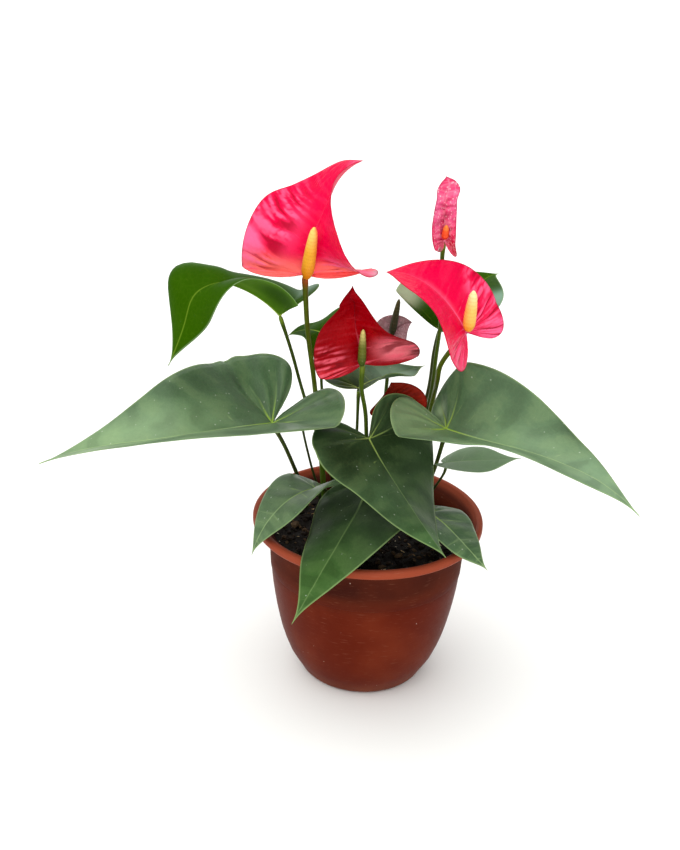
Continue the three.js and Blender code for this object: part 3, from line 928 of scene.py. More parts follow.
@dataclass
class Blade:
    """A leaf or spathe: a heart-shaped sheet bent along its midrib and folded about it."""

    finish: BladeFinish
    at: Point
    length: float
    half_width: Pair
    lobe: Pair
    heading: list[float]
    rise: list[float]
    roll: list[float]
    fold: tuple[list[float], list[float]]
    curl: Pair
    lobe_lift: Pair
    outline: tuple[Pair, ...] = LEAF_OUTLINE
    washes: list[Wash] = field(default_factory=list)
    nudges: list[Nudge] = field(default_factory=list)
    rumples: list[Patch] = field(default_factory=list)
    rows: int = 78
    columns: int = 20
    thickness: float = 0.5
    vein_gap: float = 2.0
    vein_wobble: float = 0.28
    quilt: float = 0.5
    pucker: float = 0.0
    folds: float = 4.0
    fold_length: float = 22.0
    crease_length: float = 6.0
    midrib_fade: float = 9.0
    margin_fade: float = 5.0
    swell: float = 0.7
    rib: float = 0.55
    seed: float = 1.0

    def midrib(self, s: Array) -> Array:
        """Points of the midrib.

        Args:
            s: places from base 0 to tip 1.

        Returns:
            Points in millimetres.
        """
        middles = (np.arange(MIDRIB_STEPS) + 0.5) / MIDRIB_STEPS
        steps = direction(read_along(self.heading, middles), read_along(self.rise, middles))
        line = np.vstack([self.at, self.at + np.cumsum(steps, 0) * (self.length / MIDRIB_STEPS)])
        knots = np.linspace(0, 1, MIDRIB_STEPS + 1)
        return np.stack([np.interp(s, knots, line[:, k]) for k in range(3)], -1)

    def axes(self, s: Array) -> tuple[Array, Array, Array]:
        """Along, leftward and upper-face directions of the blade.

        Args:
            s: places from base 0 to tip 1.

        Returns:
            Three arrays of unit vectors.
        """
        heading = read_smooth(self.heading, s)
        along = direction(heading, read_smooth(self.rise, s))
        h = np.radians(heading)
        level = np.stack([-np.sin(h), np.cos(h), np.zeros_like(h)], -1)
        over = np.cross(along, level)
        turn = np.radians(read_smooth(self.roll, s))[:, None]
        left = level * np.cos(turn) + over * np.sin(turn)
        return along, left, over * np.cos(turn) - level * np.sin(turn)

    def halves(self) -> list[Half]:
        """Lays out the flat pattern, fanned from the midrib to the margin.

        Returns:
            The left and the right half.
        """
        fans = np.linspace(0, OUTLINE_SHARE * (len(self.outline) - 1), self.rows + 1)
        rim = smooth_outline(self.outline, fans)
        rim[:, 1] = np.maximum(rim[:, 1], 0)
        shares = (np.arange(self.columns + 1) / self.columns) ** 1.5
        root = np.maximum((rim[:, 0] - FAN_REACH) / (1 - FAN_REACH), 0)
        x = root[:, None] + (rim[:, 0] - root)[:, None] * shares
        y = rim[:, 1][:, None] * shares
        made = []
        for side, sign in enumerate((1, -1)):
            scale = np.where(x < 0, self.lobe[side], 1) * self.length
            flat = np.stack([x * scale, y * self.half_width[side]], -1)
            reach = np.linalg.norm(flat[:, -1] - flat[:, 0], axis=1)
            step = np.gradient(fans)[:, None]
            spacing = np.linalg.norm(np.gradient(flat, axis=0), axis=-1) / step
            flat = flat.reshape(-1, 2)
            spot = np.column_stack([flat * 0.04, np.full(x.size, side)])
            number = np.repeat(fans, len(shares)) + self.vein_wobble * ripple(spot, 1.0, self.seed)
            half = Half(
                side,
                x.ravel(),
                sign * y.ravel(),
                np.tile(shares, len(fans)),
                flat * (1, sign),
                np.repeat(reach, len(shares)),
                spacing.ravel(),
                number / self.vein_gap,
            )
            if self.pucker:
                half.blister, half.rumple = self.blisters(half), self.rumpled(half)
            made.append(half)
        return made

    def surface(self, half: Half) -> Array:
        """Points of the sheet, bent and nudged but without relief.

        Args:
            half: the half of the pattern.

        Returns:
            Points in millimetres.
        """
        side, s = half.side, np.clip(half.x, 0, 1)
        along, left, upper = self.axes(s)
        lift = read_smooth(self.fold[side], s) - self.curl[side] * np.abs(half.y) / 2
        lift = np.radians(lift)
        reach = half.y * self.half_width[side]
        sheet = self.midrib(s) + left * (np.cos(lift) * reach)[:, None]
        sheet += upper * (np.sin(lift) * np.abs(reach))[:, None]
        back = np.minimum(half.x, 0) * self.lobe[side] * self.length
        raised = math.radians(self.lobe_lift[side])
        sheet += along * (back * math.cos(raised))[:, None]
        sheet -= upper * (back * math.sin(raised))[:, None]
        for nudge in self.nudges:
            sheet += nudge.share(half.x, half.y)[:, None] * np.array(nudge.shift)
        return sheet

    def blisters(self, half: Half) -> Array:
        """Blisters with narrow creases between them, longer along the veins than across.

        Args:
            half: the half of the pattern.

        Returns:
            0 in a crease to 1 on top of a blister.
        """
        length, side = half.out * half.reach, np.sign(half.flat[:, 1]) * 20
        folds = np.column_stack([half.fan * self.folds, length / self.fold_length, side])
        creases = np.column_stack([half.fan * self.folds * 1.7, length / self.crease_length, side])
        ridges = np.clip(0.5 + 1.25 * ripple(folds, 1.0, self.seed + 2), 0, 1)
        valleys = np.minimum(np.abs(ripple(creases, 1.0, self.seed + 5)) * 3.2, 1)
        return ridges * (0.65 + 0.35 * valleys)

    def rumpled(self, half: Half) -> Array:
        """How much puckered each place is: a third everywhere, more in the rumpled patches."""
        shares = (patch.share(half.x, half.y) for patch in self.rumples)
        return 0.33 + sum(shares, np.zeros_like(half.x))

    def relief(self, half: Half) -> Array:
        """Quilting between the veins and puckers along them.

        Args:
            half: the half of the pattern.

        Returns:
            Millimetres above the smooth sheet.
        """
        spot = np.column_stack([half.flat, np.zeros(len(half.x))])
        between = np.sin(math.pi * (half.fan % 1.0)) ** 2
        fade = np.clip(half.out * half.reach / self.midrib_fade, 0, 1)
        fade = fade * np.clip((1 - half.out) * half.reach / self.margin_fade, 0, 1)
        height = self.quilt * (between - 0.5) * fade
        height += self.swell * ripple(spot, 0.028, self.seed) * np.clip(half.out * 2.5, 0, 1)
        if self.pucker:
            height += self.pucker * (half.blister - 0.45) * half.rumple * fade
            height += 0.25 * self.pucker * ripple(spot, 0.35, self.seed + 7) * fade
        return height

    def from_vein(self, half: Half, split: int = 1) -> Array:
        """Millimetres to the nearest vein, with the gaps split into so many."""
        apart = np.abs((half.fan * split + 0.5) % 1.0 - 0.5)
        return apart * half.spacing * self.vein_gap / split

    def ribs(self, half: Half) -> Array:
        """Height of the ribs that stand out of the under face.

        Args:
            half: the half of the pattern.

        Returns:
            Heights in millimetres.
        """
        taper = (1 - np.clip(half.x, 0, 1)) ** 0.7
        main = self.rib * taper * np.exp(-((half.flat[:, 1] / (0.6 + 0.7 * taper)) ** 2))
        side = 0.3 * self.rib * (1 - half.out) * np.exp(-((self.from_vein(half) / 0.7) ** 2))
        return np.maximum(main * (half.x >= -0.01), side)

    def half_thickness(self, half: Half) -> Array:
        """Half the thickness of the sheet, rounded off at the margin."""
        near_margin = np.clip((1 - half.out) * half.reach / 2.0, 0, 1)
        return self.thickness / 2 * (0.45 + 0.55 * near_margin**0.5)

    def tones(self, half: Half, under: int) -> Array:
        """Base colour of each place, with the washes laid on, some of them painted sheen and
        painted shade, before veins and mottling.

        Args:
            half: the half of the pattern.
            under: 1 for the under face.

        Returns:
            Linear colours with an alpha of 1.
        """
        ground = srgb(self.finish.under if under else self.finish.upper)
        tone = np.tile(np.array((*ground, 1.0)), (len(half.x), 1))
        for wash in self.washes:
            share = wash.share(half.x, half.y)[:, None]
            tone = tone * (1 - share) + np.array((*srgb(wash.colour), 1.0)) * share
        return tone

    def corner_numbers(self, halves: list[Half]) -> dict[str, Array]:
        """Numbers on the corners that the finish reads.

        Args:
            halves: both halves of the pattern.

        Returns:
            Attribute name to array, upper face first.
        """
        rows: dict[str, list[Array]] = {}
        for under in (0, 1):
            for half in halves:
                veins = self.from_vein(half) + 0.9 * half.out
                thin = self.from_vein(half, 3) + 0.3 * (half.out < 0.2)
                midrib = np.where(half.x >= 0, np.abs(half.flat[:, 1]), 9.0)
                midrib += 0.5 * np.clip(half.x, 0, 1)
                margin = (1 - half.out) * half.reach
                face = np.full(len(half.x), under)
                for key, columns in (
                    ("blade_place", [half.flat, face]),
                    ("blade_veins", [veins, thin, half.blister]),
                    ("blade_edge", [margin, half.rumple, midrib]),
                    ("blade_tone", [self.tones(half, under)]),
                ):
                    rows.setdefault(key, []).append(np.column_stack(columns))
        return {key: np.vstack(parts) for key, parts in rows.items()}

    def pattern_faces(self) -> tuple[list[Face], list[Face]]:
        """Joins the places of both halves.

        Returns:
            The faces of the upper side, and the pairs of corners along the margin.
        """
        faces, margin = [], []
        shape = (2, self.rows + 1, self.columns + 1)
        for side, grid in enumerate(np.arange(math.prod(shape)).reshape(shape).tolist()):
            edge = []
            for row, after in zip(grid, grid[1:]):
                quads = list(zip(row, row[1:], after[1:], after))
                faces += quads if side == 0 else [quad[::-1] for quad in quads]
                edge.append((row[-1], after[-1]))
            lobe = grid[-1][::-1]
            edge += list(zip(lobe, lobe[1:]))
            margin += [pair[::-1] for pair in edge] if side == 0 else edge
        return faces, margin

    def build(self, name: str) -> bpy.types.Object:
        """Makes the blade with its relief, ribs, rounded margin and the numbers its finish reads.

        Args:
            name: the piece's name.

        Returns:
            The object.
        """
        halves = self.halves()
        faces, margin = self.pattern_faces()
        sheet = np.vstack([self.surface(half) for half in halves])
        _, first, welded = np.unique(
            np.round(sheet, WELD_DIGITS), axis=0, return_index=True, return_inverse=True
        )
        welded = welded.reshape(-1)
        wide, ids = len(sheet), welded.tolist()
        sheet = sheet[first]
        rows = []
        for face in faces:
            corners = tuple(i for n, i in enumerate(face) if ids[i] != ids[face[n - 1]])
            if len(corners) > 2:
                rows.append(corners)
        upper_faces = [tuple(ids[i] for i in face) for face in rows]
        height = np.concatenate([self.relief(half) for half in halves])
        lift = np.bincount(welded, height) / np.bincount(welded)
        middle = sheet + vertex_normals(sheet, upper_faces) * lift[:, None]
        normals = vertex_normals(middle, upper_faces)
        thick = np.concatenate([self.half_thickness(half) for half in halves])[first]
        rib = np.zeros(len(sheet))
        np.maximum.at(rib, welded, np.concatenate([self.ribs(half) for half in halves]))
        upper, lower = middle + normals * thick[:, None], middle - normals * (thick + rib)[:, None]
        shift = len(sheet)
        all_faces = upper_faces + [tuple(i + shift for i in face[::-1]) for face in upper_faces]
        rows += [tuple(i + wide for i in face[::-1]) for face in rows]
        for a, b in margin:
            m, n = ids[a], ids[b]
            if m != n:
                all_faces.append((m, n, n + shift, m + shift))
                rows.append((a, b, b + wide, a + wide))
        places = np.vstack([upper, lower])
        skin = Skin(name, places, all_faces, rows, self.corner_numbers(halves))
        return skin.build(dress(self.finish), self.finish.slot)


@dataclass
class MatureBlade(Blade):
    """The sheet of a mature leaf, quilted and slightly puckered."""

    quilt: float = 1.2
    pucker: float = 0.3


@dataclass
class Spathe(Blade):
    """The sheet of a bloom, with close veins and puckers between them."""

    outline: tuple[Pair, ...] = SPATHE_OUTLINE
    vein_gap: float = 1.0
    pucker: float = 1.2
    folds: float = 3.0
    quilt: float = 0.3


def vertex_normals(places: Array, faces: list[Face]) -> Array:
    """Area-weighted normals.

    Args:
        places: points.
        faces: triangles and quads of point numbers.

    Returns:
        Unit normals, one for each point.
    """
    normals = np.zeros_like(places)
    for size in (3, 4):
        group = np.array([face for face in faces if len(face) == size], int).reshape(-1, size)
        p = [places[group[:, k]] for k in range(size)]
        face_normal = np.cross(p[2] - p[0], p[3 % size] - p[1])
        for k in range(size):
            np.add.at(normals, group[:, k], face_normal)
    length = np.linalg.norm(normals, axis=1)[:, None]
    return normals / np.maximum(length, 1e-9)


# ---- Stalks and spadices ------------------------------------------------------------------

STALK_SHAPE = [1.1, 1.1, 0.95, 0.9, 0.9, 1]
SPADIX_SHAPE = [0.5, 0.95, 1, 1, 0.98, 0.9, 0.78, 0.45]


@dataclass
class Stalk:
    """A round stalk from its hole in the soil to the blade that it carries."""

    finish: StalkFinish
    radius: float
    via: list[Point]
    foot: Pair
    sides: int = 14
    steps: int = 14
    swelling: float = 0.18
    blunt_end: float = 0.55
    unevenness: float = 0.03

    def build(self, name: str, top: Point) -> bpy.types.Object:
        """Makes the stalk, slightly swollen below the blade.

        Args:
            name: the piece's name.
            top: its upper end.

        Returns:
            The object.
        """
        x, y = self.foot
        bottom = (x, y, SOIL_LEVEL - STEM_HOLE_DEPTH + FIT_GAP)
        surface = (x, y, SOIL_LEVEL + STALK_COLLAR)
        line = stalk_curve([bottom, surface, *self.via[::-1], top], self.steps)
        length = lengths_along(line)
        radii = self.radius * read_smooth(STALK_SHAPE, length / length[-1])
        radii *= 1 + self.swelling * np.exp(-(((length[-1] - length - 5) / 6) ** 2))
        radii[-1] *= self.blunt_end
        radii *= 1 + self.unevenness * ripple(line, 0.12, self.radius)
        skin = round_skin(name, line, radii, self.sides)
        return skin.build(dress(self.finish), self.finish.slot)


@dataclass
class Spadix:
    """A spadix set with rows of tiny round flowers that wind both ways."""

    finish: SpadixFinish
    foot: Point
    top: Point
    radius: Pair
    bow: float = 0.4
    rings: int = 110
    sides: int = 56
    rows: int = 9
    bead: float = 0.17
    pitch: float = 2.4

    def build(self, name: str) -> bpy.types.Object:
        """Makes the beaded spadix.

        Args:
            name: the piece's name.

        Returns:
            The object.
        """
        t = np.linspace(0, 1, self.rings)
        foot, top = np.array(self.foot), np.array(self.top)
        middle = (foot + top) / 2 + np.array([0, self.bow, 0])
        shares = ((1 - t) ** 2, 2 * t * (1 - t), t**2)
        line = sum(place * share[:, None] for place, share in zip((foot, middle, top), shares))
        length = np.linalg.norm(top - foot)
        body = self.radius[0] + (self.radius[1] - self.radius[0]) * t
        body *= read_smooth(SPADIX_SHAPE, t, 0.06)
        close = np.clip((1 - t) * length / body.max() / 0.9, 0, 1)
        body *= np.sqrt(np.clip(1 - (1 - close) ** 2, 0.02, 1)) * np.clip(0.75 + t * 8, 0, 1)
        wave = FULL_TURN * t[:, None] * length / self.pitch
        winding = self.rows * (turns(self.sides) + 0.5 * wave / self.rows)
        beads = 0.5 + 0.5 * np.cos(winding + wave / 2) * np.cos(winding - wave / 2)
        relief = self.bead * (np.sqrt(beads) - 0.6) * np.clip(close * 1.5, 0, 1)[:, None]
        radii = body[:, None] + relief
        skin = round_skin(name, line, radii, self.sides)
        bead = np.zeros((len(skin.places), 3))
        bead[: radii.size, 0] = beads.ravel()
        skin.corner_data["bead"] = bead
        return skin.build(dress(self.finish), self.finish.slot)


# ---- Pot and soil -------------------------------------------------------------------------


@dataclass
class Pot:
    """Round tapered pot with a rolled rim, a rounded foot, a faint step and drain holes."""

    name: str = "pot_shell"
    finish: PotFinish = PotFinish()
    segments: int = 168
    wall: float = 2.4
    base_radius: float = 41.0
    base_rounding: float = 5.0
    floor: float = 3.0
    height: float = 114.0
    rim_radius: float = 75.0
    mouth_radius: float = 70.5
    body_top_radius: float = 63.4
    ledge_radius: float = 62.3
    step_height: float = 78.0
    step_depth: float = 0.5
    drain_holes: int = 5
    drain_radius: float = 3.5
    drain_ring: float = 24.0
    drain_sides: int = 20

    def outer(self) -> list[Pair]:
        """Outer wall from the underside up to the rim.

        Returns:
            Its corners as (radius, height).
        """
        base, step, top = self.base_radius, self.step_height, self.body_top_radius
        ledge, rim, height = self.ledge_radius, self.rim_radius, self.height
        return [
            (base - self.base_rounding, 0), (base - 3.0, 0.35), (base - 1.2, 1.4),
            (base + 0.3, 3.1), (base + 1.2, self.base_rounding), (45.6, 10.5), (49.1, 16.7),
            (52.3, 25), (54.9, 33.3), (56.9, 41.7), (58.6, 50), (60.0, 58), (61.2, 66),
            (61.95, 73), (ledge, step - 0.5), (ledge + self.step_depth * 0.7, step - 0.25),
            (ledge + self.step_depth, step), (63.1, 83), (top, 88), (63.5, 94), (top, 99),
            (63.7, 100.8), (64.4, 102.4), (65.5, 104.1), (67, 105.4), (68.9, 106.6), (71, 107.4),
            (72.9, 107.8), (rim - 0.8, 108.4), (rim - 0.15, 109.2), (rim, 110), (rim, 112),
            (rim - 0.3, 113), (rim - 1, 113.6), (rim - 1.7, 113.9), (rim - 2.4, height),
        ]

    def inner(self) -> list[Pair]:
        """Inner wall from the mouth down to the floor.

        Returns:
            Its corners as (radius, height).
        """
        mouth, wall, height = self.mouth_radius, self.wall, self.height
        base, top = self.base_radius, self.body_top_radius
        return [
            (mouth + 1.1, height - 0.1), (mouth + 0.4, height - 0.35), (mouth, height - 0.8),
            (mouth - 1.2, 111.8), (mouth - 2.6, 110.4), (65.6, 108.4), (64, 106.4), (62.7, 104.4),
            (61.8, 102.4), (61.2, 100), (top - wall, 97), (top - wall, 88),
            (self.ledge_radius - wall, self.step_height), (58.6 - wall, 50), (54.9 - wall, 33.3),
            (49.1 - wall, 16.7), (base + 1.2 - wall, 6.5), (base - 1.8, 4.2),
            (base - 3, self.floor),
        ]

    def build(self) -> bpy.types.Object:
        """Turns the wall and joins it to the pierced floor.

        Returns:
            The object.
        """
        profile = self.outer() + self.inner()
        mesh = bmesh.new()
        corners = [
            mesh.verts.new(spot) for r, z in profile for spot in circle((0, 0), r, z, self.segments)
        ]
        for face in tube_faces(len(profile), self.segments):
            mesh.faces.new([corners[i] for i in face])
        brims = (corners[: self.segments], corners[-self.segments :])
        edges: tuple[list[bmesh.types.BMEdge], ...] = ([], [])
        for hole in range(self.drain_holes):
            middle = (hole + 0.5) / self.drain_holes * FULL_TURN
            at = (math.cos(middle) * self.drain_ring, math.sin(middle) * self.drain_ring)
            rings = [circle(at, self.drain_radius, z, self.drain_sides) for z in (0.0, self.floor)]
            low, high = ([mesh.verts.new(spot) for spot in ring] for ring in rings)
            for k in range(self.drain_sides):
                edges[0].append(mesh.edges.new((low[k - 1], low[k])))
                edges[1].append(mesh.edges.new((high[k - 1], high[k])))
                mesh.faces.new((low[k - 1], high[k - 1], high[k], low[k]))
        for brim, level in zip(brims, edges):
            level += [mesh.edges.get((brim[k - 1], brim[k])) for k in range(self.segments)]
            bmesh.ops.triangle_fill(mesh, use_beauty=True, edges=level)
        bmesh.ops.recalc_face_normals(mesh, faces=mesh.faces)
        mesh.verts.index_update()
        skin = Skin(
            self.name,
            np.array([tuple(v.co) for v in mesh.verts]),
            [tuple(v.index for v in f.verts) for f in mesh.faces],
        )
        mesh.free()
        thing = skin.build(dress(self.finish), Slot.POT)
        thing.data.set_sharp_from_angle(angle=math.radians(40))
        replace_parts(thing, "pot")
        return thing


@dataclass
class Soil:
    """Bark and peat that fills the pot: a rough surface with loose chips lying in it."""

    name: str = "potting_mix"
    finish: SoilFinish = SoilFinish()
    level: float = SOIL_LEVEL
    brim_lift: float = 0.6
    bump: float = 1.28
    rings: int = 46
    segments: int = 150
    peat: int = 0x17100B
    chips: int = 620
    chip_sides: int = 6
    chip_tilt: float = 0.9
    barks: tuple[int, ...] = (0x281C13, 0x33251A, 0x1A120D, 0x43301F, 0x140E0A, 0x54402C, 0x241A14)
    fibres: tuple[int, ...] = (0xC2A87E, 0xDCCFB4, 0x9A7C58)
    fibre_share: float = 0.2
    fibre_slimness: float = 0.4
    stalk_feet: list[Point] = field(default_factory=list)
    seed: int = 11

    def height(self, x: Array, y: Array) -> Array:
        """Height of the loose surface: crossing ripples about 30 mm and 19 mm long, and crumbs.

        Args:
            x: places to the right.
            y: places away from the front.

        Returns:
            Heights in millimetres.
        """
        broad = np.sin(FULL_TURN * x / 30 + 1.3) * np.cos(FULL_TURN * y / 33)
        slant = np.sin(FULL_TURN * (x - y) / 19)
        spot = np.column_stack([x, y, np.zeros_like(x)])
        crumbs = 0.75 * ripple(spot, 0.22, 3.0) + 0.5 * ripple(spot, 0.55, 4.0)
        return self.level + self.bump * (0.6 * broad + 0.36 * slant) + crumbs

    def height_at(self, x: float, y: float) -> float:
        """Height of the loose surface at one place."""
        return float(self.height(np.array([x]), np.array([y]))[0])

    def build(self, pot: Pot) -> bpy.types.Object:
        """Makes the soil body and its chips.

        Args:
            pot: the pot that holds it.

        Returns:
            The object.
        """
        held = [(r - FIT_GAP, z) for r, z in pot.inner() if z < self.level]
        wall = [(r, z if z > pot.floor else z + FIT_GAP) for r, z in held][::-1]
        places = [spot for r, z in wall for spot in circle((0, 0), r, z, self.segments)]
        angles, brim = turns(self.segments), wall[-1][0]
        for r in np.linspace(brim, brim / self.rings, self.rings):
            x, y = r * np.cos(angles), r * np.sin(angles)
            z = self.height(x, y)
            places += zip(x, y, np.minimum(z, self.level + self.brim_lift) if r == brim else z)
        faces = tube_faces(len(wall) + self.rings, self.segments)
        centre = len(places)
        places += [(0.0, 0.0, self.height_at(0.0, 0.0)), (0.0, 0.0, wall[0][1])]
        row = centre - self.segments
        for k in range(self.segments):
            n = (k + 1) % self.segments
            faces += [(row + k, row + n, centre), (n, k, centre + 1)]
        tones = [srgb(self.peat)] * len(places)
        self.add_chips(places, faces, tones, brim)
        colours = np.column_stack([tones, np.ones(len(tones))])
        skin = Skin(self.name, np.array(places, float), faces, [], {"chip_tone": colours})
        thing = skin.build(dress(self.finish), Slot.SOIL, smooth=False)
        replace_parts(thing, "soil")
        return thing

    def add_chips(
        self, places: list[Point], faces: list[Face], tones: list[Colour], brim: float
    ) -> None:
        """Lays flat bark chips, crumbs and a few pale fibres into the surface.

        Args:
            places: points so far, added to.
            faces: faces so far, added to.
            tones: colours of the points so far, added to.
            brim: radius of the surface.
        """
        draw, ring, laid = random.Random(self.seed), self.chip_sides, 0
        while laid < self.chips:
            r, a = brim * math.sqrt(draw.random()), draw.random() * FULL_TURN
            x, y = r * math.cos(a), r * math.sin(a)
            size = 0.9 + 3.1 * draw.random() ** 2.2
            fibre = draw.random() < self.fibre_share
            if fibre:
                size = 0.5 + 1.6 * draw.random()
            clear = size + 0.3
            near = (math.hypot(x - fx, y - fy) < fr + clear for fx, fy, fr in self.stalk_feet)
            if r > brim - size or any(near):
                continue
            laid += 1
            tone = srgb(draw.choice(self.fibres if fibre else self.barks))
            middle = Vector((x, y, self.height_at(x, y) + size * 0.12))
            base = len(places)
            corners = self.chip(draw, size, self.fibre_slimness if fibre else 1.0)
            places += [tuple(corner + middle) for corner in corners]
            tones += [tone] * len(corners)
            faces += tube_faces(3, ring, base)
            faces.append(tuple(range(base + ring - 1, base - 1, -1)))
            faces.append(tuple(range(base + 2 * ring, base + 3 * ring)))

    def chip(self, draw: random.Random, size: float, slim: float) -> list[Vector]:
        """Draws one chip.

        Args:
            draw: source of its random numbers.
            size: its half length.
            slim: 1 for bark, less for a fibre.

        Returns:
            Its corners round its middle, in three rings from below upwards.
        """
        spin = Matrix.Rotation(draw.random() * FULL_TURN, 3, "Z")
        tilts = [(draw.random() - 0.5) * self.chip_tilt for _ in "XY"]
        turned = spin @ (Matrix.Rotation(tilts[0], 3, "X") @ Matrix.Rotation(tilts[1], 3, "Y"))
        width = slim * (0.45 + 0.45 * draw.random())
        thick = slim * (0.22 + 0.25 * draw.random())
        shape = [0.75 + 0.4 * draw.random() for _ in range(self.chip_sides)]
        corners = []
        for level, share in ((-1, 0.72), (0, 1.0), (1, 0.66)):
            for angle, bulge in zip(turns(self.chip_sides), shape):
                turn, reach = angle + level * 0.2, size * share * bulge
                x, y = reach * math.cos(turn), width * reach * math.sin(turn)
                lift = thick * size * level * (0.85 + 0.3 * draw.random())
                corners.append(turned @ Vector((x, y, lift)))
        return corners


# ---- The plant ----------------------------------------------------------------------------

MATURE = BladeFinish(
    "mature leaf", Slot.MATURE, upper=0x4F6B48, under=0x6C8864, vein=0xA2BC80, margin=0x8FA86E,
    near_vein=0x9CBF3A, shade=0x24391F, vein_share=0.62, vein_width=1.4, net_share=0.03,
    roughness=0.36, mottle=0.2, dust=0.65, ridge_light=0.5, calm=0.3, calm_share=0.2,
)
MATURE_DARK = BladeFinish(
    "shaded mature leaf", Slot.MATURE, upper=0x394E30, under=0x54704A, vein=0x8CA868,
    margin=0x8FA86A, near_vein=0x94AA55, shade=0x16260E, vein_share=0.3, vein_width=1.2,
    net_share=0.02, roughness=0.4, mottle=0.18, dust=0.5, ridge_light=0.3, calm=0.3,
    calm_share=0.22, gloss=0.03,
)
YOUNG = BladeFinish(
    "young leaf", Slot.YOUNG, upper=0x2A4E00, under=0x4E7618, vein=0x98B53A, margin=0x8FA878,
    near_vein=0xA6BE4A, vein_share=0.25, net_share=0.015, mottle=0.14, dust=0.03, gloss=0.01,
)
PALE = BladeFinish(
    "pale leaf", Slot.PALE, upper=0x7A9670, under=0x84A07A, vein=0x93AB80, margin=0xA9BC98,
    vein_share=0.3, roughness=0.5, mottle=0.12, dust=0.1,
)
FRESH = SpatheFinish(
    "fresh spathe", Slot.FRESH, upper=0xE20040, under=0xE23A5C, vein=0xF96A98, margin=0xA40526,
    vein_share=0.12, margin_share=0.45, roughness=0.3, mottle=0.07, ridge_light=0.62,
    calm_share=0.07,
)
SHADED = SpatheFinish(
    "shaded spathe", Slot.SHADED, upper=0x880009, under=0xA81E30, vein=0xE25A6C, margin=0x66040C,
    vein_share=0.12, roughness=0.32, ridge_light=0.85, calm_share=0.03,
)
AGEING = SpatheFinish(
    "ageing spathe", Slot.AGEING, upper=0x8A1C0A, under=0x6A1A10, vein=0x9A2E20, margin=0x550E08,
    vein_share=0.3, net_share=0.3, roughness=0.4, mottle=0.3, relief=0.3, ridge_light=0.3,
)
WITHERED = SpatheFinish(
    "withered spathe", Slot.WITHERED, upper=0xA58387, under=0x94757A, vein=0x7E535A,
    margin=0x6F4A4E, vein_share=0.5, margin_share=0.6, net_share=0.5, roughness=0.62, mottle=0.35,
    relief=0.4, speckle=0.4, gloss=0.18,
)
SPECKLED = SpatheFinish(
    "speckled spathe", Slot.FRESH, upper=0xD81050, under=0xD0406A, vein=0xF59AB4, margin=0x9A1236,
    net_share=0.35, roughness=0.34, mottle=0.2, relief=0.4, ridge_light=0.6, speckle=1.0,
    gloss=0.06,
)

LEAF_STALK = StalkFinish("leaf stalk", Slot.LEAF_STALK, 0x2A3514, 0x3A481A, 0x566F22, 0x3A2A18)
YOUNG_STALK = StalkFinish(
    "young leaf stalk", Slot.LEAF_STALK, 0x28360E, 0x3A4E0E, 0x668022, 0x382B12
)
FLOWER_STALK = StalkFinish(
    "flower stalk", Slot.FLOWER_STALK, 0x42600A, 0x4C5C08, 0x96480E, 0x523212
)
GREEN_STALK = StalkFinish(
    "green flower stalk", Slot.FLOWER_STALK, 0x30460A, 0x445A0A, 0x66781A, 0x3E4210
)

GOLDEN = SpadixFinish("golden spadix", Slot.SPADIX, 0xD67A0A, 0xE09E26, 0xEEC668, 0xB86E10)
PALE_GOLDEN = SpadixFinish(
    "pale golden spadix", Slot.SPADIX, 0xE8A02E, 0xF2C060, 0xFBE2A4, 0xC88A30
)
ORANGE = SpadixFinish("orange spadix", Slot.ORANGE_SPADIX, 0xC83418, 0xE85420, 0xF08A3A, 0xA03010)
OLIVE = SpadixFinish("olive spadix", Slot.OLIVE_SPADIX, 0x3A4C12, 0x5C601A, 0xC4B46A, 0x323E10)
BROWN_GREEN = SpadixFinish(
    "brown-green spadix", Slot.OLD_SPADIX, 0x22260F, 0x35331A, 0x4A4A26, 0x1B1A0C
)


@dataclass
class Leaf:
    """A leaf: its blade and the stalk below it."""

    name: str
    blade: Blade
    stalk: Stalk
    blade_node: str = "blade"
    tuck: float = 0.5

    def build(self) -> None:
        """Makes both pieces and lets them stand for their nodes."""
        at = Vector(self.blade.at)
        top = at + (Vector(self.stalk.via[0]) - at).normalized() * self.tuck
        blade = self.blade.build(f"{self.name}_waxy_{self.blade_node}")
        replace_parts(blade, f"{self.name}_{self.blade_node}")
        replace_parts(self.stalk.build(f"{self.name}_fine_stalk", tuple(top)), f"{self.name}_stalk")


@dataclass
class Bloom(Leaf):
    """A bloom: a spathe on its stalk with a spadix before it."""

    spadix: Spadix | None = None
    blade_node: str = "spathe"

    def build(self) -> None:
        """Makes the three pieces and lets them stand for their nodes."""
        super().build()
        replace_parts(self.spadix.build(f"{self.name}_beaded_spadix"), f"{self.name}_spadix")


